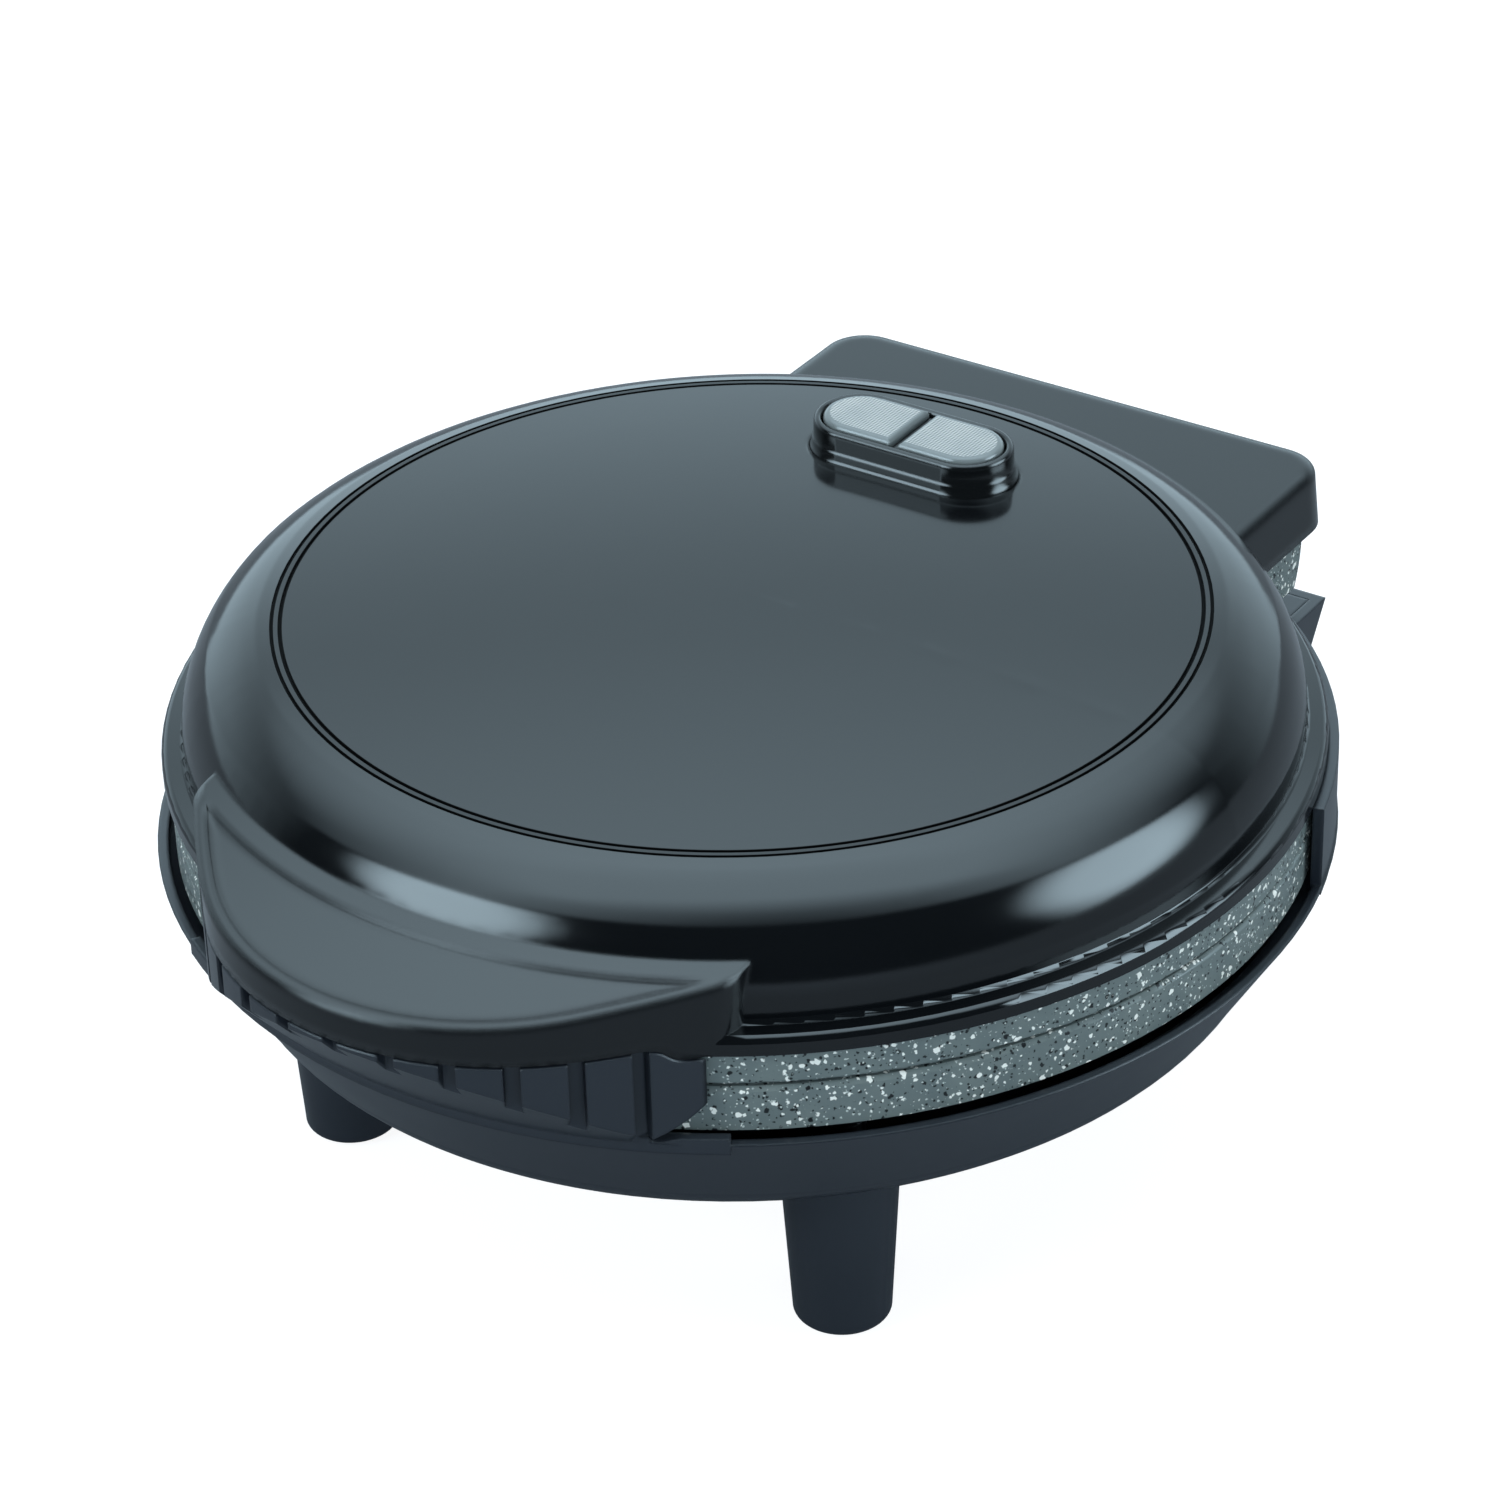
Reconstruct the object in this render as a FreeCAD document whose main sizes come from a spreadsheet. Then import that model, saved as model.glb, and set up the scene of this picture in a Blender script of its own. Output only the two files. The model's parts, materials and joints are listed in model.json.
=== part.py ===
import FreeCAD, Part
import math
import os
from types import SimpleNamespace

import Sketcher

# Countertop omelette maker: a round bowl on four tall feet carries the lower cooking plate,
# and a domed lid with the upper plate swings up on a hinge at the back.
# Right is +X, the hinge is at the back (+Y), the handle in front (-Y), and Z is up.
# The round body's axis is the modelling axis: each sub-part's Placement then moves the whole
# along Y, so that the origin lies under the middle of the overall length.

# Every driving size, in millimetres or degrees: word, value, meaning
SIZES = (
    ("running_gap", 0.3, "space between pieces that pass without touching"),
    ("slip_gap", 0.1, "space round a piece that drops into its seat"),
    ("foot_offset", 56.6, "foot centre from the middle, along X and along Y"),
    ("foot_height", 38.0, "underside of the bowl above the table"),
    ("foot_bottom_radius", 9.2, "foot radius at the table"),
    ("foot_top_radius", 11.3, "foot radius under the bowl"),
    ("foot_round", 1.2, "rounded lower edge of a foot"),
    ("foot_wall", 2.4, "wall of a foot"),
    ("spigot_radius", 5.0, "peg of a foot that plugs into the bowl"),
    ("spigot_height", 7.0, "length of that peg"),
    ("pad_radius", 6.6, "rubber pad under a foot"),
    ("pad_height", 2.0, "thickness of that pad"),
    ("pad_show", 0.5, "how far the pad stands out below the foot"),
    ("wall", 2.5, "plastic wall of bowl, lid and hinge boxes"),
    ("rim_gap", 1.6, "open gutter between the plates and the bowl's rim"),
    ("rim_width", 2.0, "flat top of the rim"),
    ("rim_step", 1.3, "rise of the rim beside the handle"),
    ("rim_step_half_angle", 32.0, "half of the raised stretch of rim, seen from above"),
    ("bowl_depth", 24.8, "rim above the bowl's underside"),
    ("bowl_flat_set_in", 20.4, "edge of the bowl's flat underside, in from the rim"),
    ("bowl_turn_in", 11.8, "rim radius less radius where the wall starts to turn in"),
    ("bowl_turn_height", 5.5, "height of that turn above the underside"),
    ("bowl_turn_bulge", 1.6, "roundness of the turn"),
    ("gutter_depth", 1.9, "gutter between rim and plate, below the rim"),
    ("gutter_width", 3.4, "floor of the gutter"),
    ("shroud_inner_gap", 1.1, "space between the plates and the wall behind them"),
    ("shroud_wall", 2.1, "thickness of that wall"),
    ("shroud_start", 15.0, "angle of the wall's front edge behind the X axis"),
    ("shroud_gap", 0.4, "space between that wall and the lid above it"),
    ("plate_radius", 108.8, "outer radius of both cooking plates"),
    ("plate_rise", 9.6, "top of the lower plate above the rim"),
    ("plate_wall", 3.0, "cast wall of the plates"),
    ("lower_skirt", 8.8, "height of the lower plate's outer wall"),
    ("upper_skirt", 7.0, "height of the upper plate's outer wall"),
    ("seam_gap", 0.6, "space between the closed plates"),
    ("plate_edge_round", 0.8, "rounded rim edge of the plates"),
    ("well_set_in", 18.8, "outer edge of the half-moon wells, in from the plates' edge"),
    ("divider", 10.0, "land between the two wells"),
    ("well_corner", 13.0, "corner radius of a well in plan"),
    ("lower_well_depth", 14.4, "depth of a lower well"),
    ("upper_well_depth", 12.0, "depth of an upper well"),
    ("well_draft", 8.0, "slope of a well's wall in degrees"),
    ("heater_radius", 58.0, "middle radius of both heater rings"),
    ("tube_radius", 3.25, "radius of the heater tube"),
    ("tail_offset", 15.0, "heater tails from the middle"),
    ("tail_reach", 92.0, "end of the heater tails behind the middle"),
    ("tail_bend", 10.0, "bend between ring and tail"),
    ("pin_boss_radius", 1.6, "terminal pin of a heater tail"),
    ("pin_boss_length", 6.0, "length of that pin"),
    ("sheet", 0.8, "sheet metal of the reflectors"),
    ("reflector_radius", 66.5, "inside of a reflector's dish"),
    ("reflector_depth", 4.8, "depth of that dish"),
    ("reflector_rim", 80.0, "outer radius of a reflector"),
    ("fixing_radius", 74.0, "screws of reflectors and lower plate from the middle"),
    ("boss_radius", 4.8, "radius of posts and bosses"),
    ("boss_height", 3.0, "bosses on the back of the plates"),
    ("screw_radius", 2.0, "screw shank"),
    ("screw_head_radius", 3.7, "screw head"),
    ("screw_head_height", 2.4, "height of a screw head"),
    ("screw_bite", 1.2, "metal left over the end of a screw in a plate"),
    ("counterbore_depth", 4.0, "counterbore in the bowl's underside"),
    ("lid_fixing_set_in", 10.2, "screws of the upper plate, in from the plates' edge"),
    ("lid_screw_reach", 9.0, "length of those screws inside the lid's posts"),
    ("lid_overhang", 1.2, "lid's flange beyond the plates"),
    ("flange_band", 2.4, "upright edge of that flange"),
    ("flange_round", 1.2, "rounding above that edge"),
    ("flange_rise", 0.3, "bead on the flange"),
    ("dome_set_in", 3.1, "lid's wall, in from the plates' edge"),
    ("cove", 0.8, "small hollow between flange and wall"),
    ("wall_height", 9.0, "upright wall above the plates' top"),
    ("knuckle_in", 5.3, "middle of the shoulder, in from the wall"),
    ("knuckle_height", 20.0, "middle of the shoulder above the lid's lower edge"),
    ("brow_in", 15.1, "top of the shoulder, in from the wall"),
    ("brow_height", 25.7, "top of the shoulder above the lid's lower edge"),
    ("shoulder_bulge", 0.85, "roundness of both shoulder arcs"),
    ("groove_set_in", 17.7, "double groove on the lid, in from its wall"),
    ("groove_width", 0.65, "width and depth of each groove"),
    ("groove_ridge", 0.95, "ridge between the grooves"),
    ("lid_height", 26.3, "grooves above the lid's lower edge"),
    ("crown", 2.5, "rise of the lid's middle above the grooves"),
    ("post_depth", 20.0, "inside of the shoulder that the lid's posts hang from"),
    ("box_half_width", 58.1, "upper hinge box at its lower edge, half width"),
    ("hinge_length", 16.2, "rear of the hinge boxes behind the rim"),
    ("upper_box_draft", 5.0, "slope of the upper hinge box's walls in degrees"),
    ("upper_box_height", 12.5, "top of the upper hinge box above the lid's lower edge"),
    ("upper_box_corner", 10.0, "rear corners of the upper hinge box in plan"),
    ("upper_box_round", 2.0, "rounded top edge of the upper hinge box"),
    ("lower_box_set_in", 1.0, "lower hinge box inside the upper one's outline"),
    ("lower_box_depth", 17.0, "height of the lower hinge box"),
    ("lower_box_draft", 2.9, "how far its walls lean in over that height"),
    ("box_cover", 2.4, "thickness of the lower hinge box's cover"),
    ("cover_screw_in", 14.0, "screws of that cover, in from the box's side"),
    ("cover_screw_back", 5.0, "screws of that cover behind the hinge axis"),
    ("hinge_set_in", 13.1, "hinge axis in front of the hinge boxes' rear"),
    ("hinge_drop", 4.5, "hinge axis below the lid's lower edge"),
    ("lower_box_clearance", 15.5, "lower hinge box below the hinge axis"),
    ("knuckle_radius", 8.5, "lower plate's hinge lug round the axis"),
    ("knuckle_outer_x", 53.0, "outer face of the lower lugs"),
    ("knuckle_width", 6.0, "width of a lower lug"),
    ("lug_gap", 0.5, "space between the two plates' lugs"),
    ("upper_lug_radius", 8.0, "upper plate's hinge lug round the axis"),
    ("upper_lug_width", 6.5, "width of an upper lug"),
    ("lug_drop", 11.3, "underside of the lower lugs below the axis"),
    ("lug_front_drop", 3.3, "top of the lower lugs' arms below the axis"),
    ("lug_lean", 2.5, "how far a lower lug's rear edge leans in toward its foot"),
    ("lug_skin", 1.5, "metal between a pin's end and the lug's outer face"),
    ("slot_rise", 11.2, "top of the lid's lug slots above the axis"),
    ("pin_radius", 3.0, "hinge pin"),
    ("pin_clearance", 0.05, "running fit of the pin in the upper lugs"),
    ("pin_tail", 2.2, "end of the pin past the upper lug"),
    ("clip_width", 0.8, "clip on the pin's inner end"),
    ("clip_radius", 5.0, "outer radius of that clip"),
    ("handle_length", 16.6, "front of the handle before the rim"),
    ("parting_rise", 3.6, "parting between the handle halves above the lid's lower edge"),
    ("parting_gap", 0.5, "space between the handle halves"),
    ("parting_drop", 3.4, "step down of the parting toward the handle's tips"),
    ("parting_wave_in", 10.3, "start of that step, in from the tips"),
    ("parting_wave", 6.0, "length of that step"),
    ("nose_half_width", 41.5, "front arc of the handle, half width"),
    ("nose_depth", 17.7, "depth of that arc"),
    ("flank_bulge", 0.25, "roundness of the handle's flanks"),
    ("root_half_width", 58.3, "tips of the handle from the middle"),
    ("root_depth", 36.6, "corner at a tip behind the handle's front"),
    ("handle_wall", 5.0, "front wall of the handle halves"),
    ("nose_wall", 0.8, "upright edge of the lower handle at its nose"),
    ("handle_back", 80.0, "depth to which the handle's blank runs under the body"),
    ("heel_in", 12.4, "rounded lower corner of the lower handle's ends, along X"),
    ("heel_height", 6.9, "height of that corner above the raised rim"),
    ("heel_bulge", 1.2, "roundness of that corner"),
    ("top_slope", 0.18, "fall of the upper handle's top per length outward"),
    ("top_seam", 15.0, "top of the handle at the dome above the lid's lower edge"),
    ("dish_depth", 0.8, "depth of the thumb dish in the handle's top"),
    ("dish_rim", 2.4, "rim round that dish"),
    ("tip_round", 4.2, "rounded corner at the handle's tips"),
    ("slot_pitch", 11.1, "angle between finger slots"),
    ("slot_side_count", 5, "finger slots on each side of the middle one"),
    ("slot_width", 3.0, "width of a finger slot"),
    ("slot_depth", 3.0, "depth of a finger slot"),
    ("rib_width", 1.8, "ribs inside the handle halves"),
    ("rib_offset", 22.0, "ribs from the handle's middle"),
    ("indicator_y", 61.0, "middle of the indicator behind the body's middle"),
    ("indicator_half_length", 12.0, "straight part of the lens, half length"),
    ("lens_radius", 7.4, "round ends of the lens"),
    ("bezel_wall", 2.8, "wall of the indicator's bezel"),
    ("bezel_seat", 26.7, "flat seat of the bezel above the lid's lower edge"),
    ("bezel_rise", 5.6, "bezel above its seat"),
    ("lens_rise", 8.0, "lens above the bezel's seat"),
    ("lens_split", 1.6, "dark divider between the two lenses"),
    ("lens_depth", 3.4, "lens below the bezel's seat"),
    ("lamp_radius", 2.0, "indicator lamps"),
    ("lamp_height", 4.8, "length of a lamp"),
    ("holder_wall", 1.2, "walls of the lamp holder"),
    ("holder_depth", 6.3, "lamp holder below the lens"),
    ("thermostat_radius", 8.0, "thermostat can"),
    ("thermostat_height", 5.0, "height of that can"),
    ("ear_width", 7.0, "width of small brackets"),
    ("small_screw_radius", 1.4, "shank of the small screws"),
    ("small_head_radius", 2.6, "head of the small screws"),
    ("small_head_height", 1.6, "height of that head"),
    ("small_screw_reach", 2.2, "bite of the small screws"),
    ("fuse_x", 13.0, "middle of the thermal fuse beside the middle"),
    ("fuse_y", 26.0, "thermal fuse in front of the middle"),
    ("fuse_length", 16.0, "length of the thermal fuse"),
    ("strap_width", 6.0, "width of the fuse strap"),
    ("terminal_length", 30.0, "terminal block"),
    ("terminal_width", 9.0, "width of the terminal block"),
    ("terminal_height", 8.0, "height of the terminal block"),
    ("gland_radius", 4.6, "cord gland in the rear wall"),
    ("gland_bore", 3.3, "bore of the gland"),
    ("gland_flange", 1.2, "flanges of the gland"),
    ("gland_height", 5.9, "gland above the hinge box floor"),
)

document = FreeCAD.newDocument("OmeletteMaker")
SUB_PARTS = []


class Size:
    """A length that carries its present value and the sheet formula that gives it."""

    def __init__(self, value, formula):
        self.value = float(value)
        self.formula = formula

    def _with(self, other, sign, result):
        return Size(result, "(%s %s %s)" % (self.formula, sign, as_size(other).formula))

    def __add__(self, other):
        return self._with(other, "+", self.value + as_size(other).value)

    def __sub__(self, other):
        return self._with(other, "-", self.value - as_size(other).value)

    def __mul__(self, other):
        return self._with(other, "*", self.value * as_size(other).value)

    def __truediv__(self, other):
        return self._with(other, "/", self.value / as_size(other).value)

    def __radd__(self, other):
        return as_size(other) + self

    def __rsub__(self, other):
        return as_size(other) - self

    def __rmul__(self, other):
        return as_size(other) * self

    def __rtruediv__(self, other):
        return as_size(other) / self

    def __neg__(self):
        return Size(-self.value, "(0 - %s)" % self.formula)


def as_size(number):
    if isinstance(number, Size):
        return number
    return Size(number, repr(float(number)))


def root(size):
    return Size(math.sqrt(size.value), "sqrt(%s)" % size.formula)


def cosine(angle):
    angle = as_size(angle)
    return Size(math.cos(math.radians(angle.value)), "cos(%s * 1deg)" % angle.formula)


def sine(angle):
    angle = as_size(angle)
    return Size(math.sin(math.radians(angle.value)), "sin(%s * 1deg)" % angle.formula)


def tangent(angle):
    return sine(angle) / cosine(angle)


def size_sheet():
    """Write the sizes to the sheet and return them by name."""
    sheet = document.addObject("Spreadsheet::Sheet", "Sizes")
    sizes = SimpleNamespace()
    for row, (word, value, meaning) in enumerate(SIZES, start=1):
        sheet.set("A%d" % row, word)
        sheet.set("B%d" % row, str(value))
        sheet.set("C%d" % row, meaning)
        sheet.setAlias("B%d" % row, word)
        setattr(sizes, word, Size(value, "Sizes.%s" % word))
    document.recompute()
    return sizes


s = size_sheet()

# Heights and places that several pieces share
bowl_bottom = s.foot_height
bowl_floor = bowl_bottom + s.wall
rim_top = bowl_bottom + s.bowl_depth
lower_plate_top = rim_top + s.plate_rise
upper_plate_bottom = lower_plate_top + s.seam_gap
lid_bottom = upper_plate_bottom + s.upper_skirt
parting = lid_bottom + s.parting_rise
lower_parting = parting - s.parting_gap / 2
upper_parting = parting + s.parting_gap / 2
hinge_z = lid_bottom - s.hinge_drop
lower_box_top = hinge_z - s.lower_box_clearance
lower_box_bottom = lower_box_top - s.lower_box_depth
upper_box_top = lid_bottom + s.upper_box_height
lower_well_back = lower_plate_top - s.lower_well_depth - s.plate_wall
upper_well_back = upper_plate_bottom + s.upper_well_depth + s.plate_wall
lower_heater_z = lower_well_back - s.tube_radius
upper_heater_z = upper_well_back + s.tube_radius
lower_boss_end = lower_well_back - s.boss_height
upper_boss_end = upper_well_back + s.boss_height
bezel_seat_z = lid_bottom + s.bezel_seat
lens_bottom = bezel_seat_z - s.lens_depth
rim_inside = s.plate_radius + s.rim_gap
rim_radius = rim_inside + s.rim_width
lid_radius = s.plate_radius + s.lid_overhang
dome_radius = s.plate_radius - s.dome_set_in
well_radius = s.plate_radius - s.well_set_in
lid_fixing_radius = s.plate_radius - s.lid_fixing_set_in
handle_reach = rim_radius + s.handle_length
upper_box_rear = rim_radius + s.hinge_length
lower_box_rear = upper_box_rear - s.lower_box_set_in
lower_box_half = s.box_half_width - s.lower_box_set_in
hinge_y = upper_box_rear - s.hinge_set_in
rear_shift = (handle_reach - upper_box_rear) / 2
wave_start = s.root_half_width - s.parting_wave_in
rim_raised = rim_top + s.rim_step
thermostat_screw_y = s.thermostat_radius + s.ear_width / 2
fuse_screw_y = s.pin_boss_radius + s.ear_width / 2
cover_screw_x = lower_box_half - s.cover_screw_in
gland_z = lower_box_bottom + s.wall + s.gland_height
QUARTERS = (0, 90, 180, 270)
DIAGONALS = (45, 135, 225, 315)
SIDES = (-1, 1)


class Via:
    """A point that the arc between its two neighbours passes through."""

    def __init__(self, first, second):
        self.place = (as_size(first), as_size(second))


def bulged(start, end, height):
    """The middle of an arc from start to end, height to the right of the way along it."""
    across = end[0] - start[0]
    along = end[1] - start[1]
    length = root(across * across + along * along)
    middle_x = (start[0] + end[0]) / 2 + height * along / length
    middle_y = (start[1] + end[1]) / 2 - height * across / length
    return Via(middle_x, middle_y)


def unique(name):
    count = len([item for item in document.Objects if item.Name.startswith(name)])
    return name if not count else "%s%d" % (name, count)


def add(kind, name):
    return document.addObject(kind, unique(name))


def bind(item, **sizes):
    for prop, size in sizes.items():
        item.setExpression(prop, as_size(size).formula)
        setattr(item, prop, as_size(size).value)
    return item


def place(item, x=0, y=0, z=0, axis=(0, 0, 1), angle=0):
    """Move an object to a place bound to the sheet, turned by a fixed or bound angle."""
    base = FreeCAD.Vector(as_size(x).value, as_size(y).value, as_size(z).value)
    turn = FreeCAD.Rotation(FreeCAD.Vector(*axis), as_size(angle).value)
    item.Placement = FreeCAD.Placement(base, turn)
    for word, size in (("x", x), ("y", y), ("z", z)):
        if isinstance(size, Size):
            item.setExpression("Placement.Base.%s" % word, size.formula)
    if isinstance(angle, Size):
        item.setExpression("Placement.Rotation.Angle", angle.formula)
    return item


def corner_places(outline):
    """Split an outline into corners and, for each edge, the point its arc goes through."""
    corners = []
    arcs = []
    for item in outline:
        if isinstance(item, Via):
            arcs[-1] = item
        else:
            corners.append((as_size(item[0]), as_size(item[1])))
            arcs.append(None)
    return corners, arcs


def vector(pair):
    return FreeCAD.Vector(pair[0].value, pair[1].value, 0)


def pin_point(sketch, geometry, end, pair):
    """Hold a sketch point at its place by two dimensions bound to the sheet."""
    for kind, size in zip(("DistanceX", "DistanceY"), pair):
        rule = Sketcher.Constraint(kind, -1, 1, geometry, end, size.value)
        index = sketch.addConstraint(rule)
        sketch.setExpression("Constraints[%d]" % index, size.formula)


def draw(sketch, outline, closed=True):
    """Draw lines and arcs through an outline, each corner bound to the sheet."""
    corners, arcs = corner_places(outline)
    count = len(corners) if closed else len(corners) - 1
    edges = []
    for number in range(count):
        start = corners[number]
        end = corners[(number + 1) % len(corners)]
        if arcs[number]:
            curve = Part.Arc(vector(start), vector(arcs[number].place), vector(end))
            edge = sketch.addGeometry(curve)
            flipped = (sketch.getPoint(edge, 1) - vector(start)).Length > 1e-6
            mid = sketch.addGeometry(Part.Point(vector(arcs[number].place)), True)
            pin_point(sketch, mid, 1, arcs[number].place)
            sketch.addConstraint(Sketcher.Constraint("PointOnObject", mid, 1, edge))
        else:
            edge = sketch.addGeometry(Part.LineSegment(vector(start), vector(end)))
            flipped = False
        edges.append((edge, 2 if flipped else 1, 1 if flipped else 2))
    for number, (edge, first, last) in enumerate(edges):
        pin_point(sketch, edge, first, corners[number])
        if closed or number + 1 < len(edges):
            after, after_first, _ = edges[(number + 1) % len(edges)]
            rule = Sketcher.Constraint("Coincident", edge, last, after, after_first)
            sketch.addConstraint(rule)
        else:
            pin_point(sketch, edge, last, corners[-1])
    return sketch


def sketch_flat(name, outline, z=0, closed=True):
    """A sketch in plan, at a height."""
    sketch = add("Sketcher::SketchObject", name + "_plan")
    return place(draw(sketch, outline, closed), z=z)


def extruded(name, outline, z, height, taper=0):
    """A plan outline raised from z."""
    item = add("Part::Extrusion", name)
    item.Base = sketch_flat(name, outline, z)
    item.DirMode = "Custom"
    item.Dir = FreeCAD.Vector(0, 0, 1)
    item.Solid = True
    bind(item, LengthFwd=height)
    if isinstance(taper, Size):
        bind(item, TaperAngle=taper)
    return item


def across(name, outline, x, width):
    """A side outline, drawn as (y, z), run along X."""
    sketch = add("Sketcher::SketchObject", name + "_side")
    draw(sketch, outline)
    turn = FreeCAD.Rotation(FreeCAD.Vector(1, 1, 1), 120)
    sketch.Placement = FreeCAD.Placement(FreeCAD.Vector(as_size(x).value, 0, 0), turn)
    sketch.setExpression("Placement.Base.x", as_size(x).formula)
    item = add("Part::Extrusion", name)
    item.Base = sketch
    item.DirMode = "Custom"
    item.Dir = FreeCAD.Vector(1, 0, 0)
    item.Solid = True
    return bind(item, LengthFwd=width)


def revolved(name, outline):
    """A half section, drawn as (radius, z), turned about the vertical axis."""
    sketch = add("Sketcher::SketchObject", name + "_section")
    draw(sketch, outline)
    turn = FreeCAD.Rotation(FreeCAD.Vector(1, 0, 0), 90)
    sketch.Placement = FreeCAD.Placement(FreeCAD.Vector(0, 0, 0), turn)
    item = add("Part::Revolution", name)
    item.Source = sketch
    item.Axis = FreeCAD.Vector(0, 0, 1)
    item.Angle = 360
    item.Solid = True
    return item


def box(name, x, y, z):
    """A block between pairs of limits."""
    item = add("Part::Box", name)
    bind(item, Length=as_size(x[1]) - x[0])
    bind(item, Width=as_size(y[1]) - y[0])
    bind(item, Height=as_size(z[1]) - z[0])
    return place(item, as_size(x[0]), as_size(y[0]), as_size(z[0]))


def disc(name, radius, z, x=0, y=0):
    """An upright cylinder between two heights."""
    item = add("Part::Cylinder", name)
    bind(item, Radius=radius, Height=as_size(z[1]) - z[0])
    return place(item, x, y, as_size(z[0]))


def rod(name, radius, x, y, z):
    """A cylinder along X between two limits."""
    item = add("Part::Cylinder", name)
    bind(item, Radius=radius, Height=as_size(x[1]) - x[0])
    return place(item, as_size(x[0]), y, z, axis=(0, 1, 0), angle=90)


def round_the_ring(radius, angle):
    """X and Y of a point at a radius and an angle from +X."""
    return radius * cosine(angle), radius * sine(angle)


def fuse(name, *items):
    item = add("Part::MultiFuse", name)
    item.Shapes = list(items)
    return item


def cut(name, base, *tools):
    item = add("Part::Cut", name)
    item.Base = base
    item.Tool = tools[0] if len(tools) == 1 else fuse(name + "_tools", *tools)
    return item


def common(name, first, second):
    item = add("Part::Common", name)
    item.Base = first
    item.Tool = second
    return item


def group(name, items):
    item = add("Part::Compound", name)
    item.Links = list(items)
    return item


def rounded(name, base, radius, wanted):
    """Round the edges of a shape for which wanted(edge) is true."""
    document.recompute()
    item = add("Part::Fillet", name)
    item.Base = base
    edges = enumerate(base.Shape.Edges, start=1)
    item.Edges = [(number, radius.value, radius.value) for number, edge in edges if wanted(edge)]
    return item


def level_at(height):
    """A test for edges that lie at one height."""
    return lambda edge: edge.BoundBox.ZLength < 0.01 and abs(edge.BoundBox.ZMin - height.value) < 0.01


def sub_part(item, label):
    """Name a finished piece and move it from the round body's axis to the part's origin."""
    item.Label = label
    item.setExpression("Placement.Base.y", rear_shift.formula)
    SUB_PARTS.append(item)
    return item


def half_moon(chord, radius, corner, side):
    """Plan of a well: a chord beside the divider, a round outer side and round corners."""
    middle = chord + corner
    reach = radius - corner
    rise = root(reach * reach - middle * middle)
    lean = middle / reach
    swing = root(2 - 2 * lean)
    blend_x = middle + corner * (lean - 1) / swing
    blend_y = rise + corner * (rise / reach) / swing
    end_x = middle * radius / reach
    end_y = rise * radius / reach
    return (
        (side * chord, -rise),
        (side * chord, rise),
        Via(side * blend_x, blend_y),
        (side * end_x, end_y),
        Via(side * radius, 0),
        (side * end_x, -end_y),
        Via(side * blend_x, -blend_y),
    )


def handle_outline(inset, back):
    """Plan of the handle, drawn in from its outer face, closed under the body."""
    tip = s.tip_round
    nose = (s.nose_half_width - inset * 0.72, s.nose_depth - handle_reach + inset * 0.69)
    side = s.root_half_width - inset
    corner_y = s.root_depth - handle_reach + inset * 0.38
    foot = (side - tip * 0.67, corner_y - tip * 0.75)
    right = (
        nose,
        bulged(nose, foot, s.flank_bulge),
        foot,
        Via(side - tip * 0.17, corner_y + tip * 0.07),
        (side, corner_y + tip),
    )
    front = inset - handle_reach
    return (*mirrored((*right, (side, -back))), Via(0, front))


def stadium(length, radius, y):
    """Plan of the indicator: two straight sides and two round ends."""
    return (
        (-length, y - radius),
        (length, y - radius),
        Via(length + radius, y),
        (length, y + radius),
        (-length, y + radius),
        Via(-length - radius, y),
    )


def dome_outline():
    """Outer half section of the lid, from its lower edge to the crown."""
    band_top = lid_bottom + s.flange_band
    bead_z = band_top + s.flange_round
    bead_r = lid_radius - s.flange_round
    wall_foot = bead_z + s.flange_rise + s.cove
    cove_r = dome_radius + s.cove
    knuckle = (dome_radius - s.knuckle_in, lid_bottom + s.knuckle_height)
    brow = (dome_radius - s.brow_in, lid_bottom + s.brow_height)
    wall_top = (dome_radius, lid_bottom + s.wall_height)
    top = lid_bottom + s.lid_height
    floor = top - s.groove_width
    groove = dome_radius - s.groove_set_in
    first = groove - s.groove_width
    second = first - s.groove_ridge
    last = second - s.groove_width
    return (
        (0, lid_bottom),
        (lid_radius, lid_bottom),
        (lid_radius, band_top),
        bulged((lid_radius, band_top), (bead_r, bead_z), s.flange_round * 0.2),
        (bead_r, bead_z),
        (cove_r, bead_z + s.flange_rise),
        bulged((cove_r, bead_z + s.flange_rise), (dome_radius, wall_foot), -s.cove * 0.2),
        (dome_radius, wall_foot),
        wall_top,
        bulged(wall_top, knuckle, s.shoulder_bulge),
        knuckle,
        bulged(knuckle, brow, s.shoulder_bulge * 0.8),
        brow,
        (groove, top),
        (groove, floor),
        (first, floor),
        (first, top),
        (second, top),
        (second, floor),
        (last, floor),
        (last, top),
        Via(last / 2, top + s.crown * 0.75),
        (0, top + s.crown),
    )


def dome_hollow_outline():
    """Inner half section of the lid, one wall inside the outer one."""
    inside = dome_radius - s.wall
    spring = (inside, lid_bottom + s.wall_height)
    brow = (dome_radius - s.brow_in, lid_bottom + s.brow_height - s.wall)
    return (
        (0, lid_bottom - s.wall),
        (inside, lid_bottom - s.wall),
        spring,
        bulged(spring, brow, s.shoulder_bulge * 3.6),
        brow,
        Via(brow[0] / 2, lid_bottom + s.lid_height + s.crown * 0.7 - s.wall),
        (0, lid_bottom + s.lid_height + s.crown - s.wall),
    )


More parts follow.
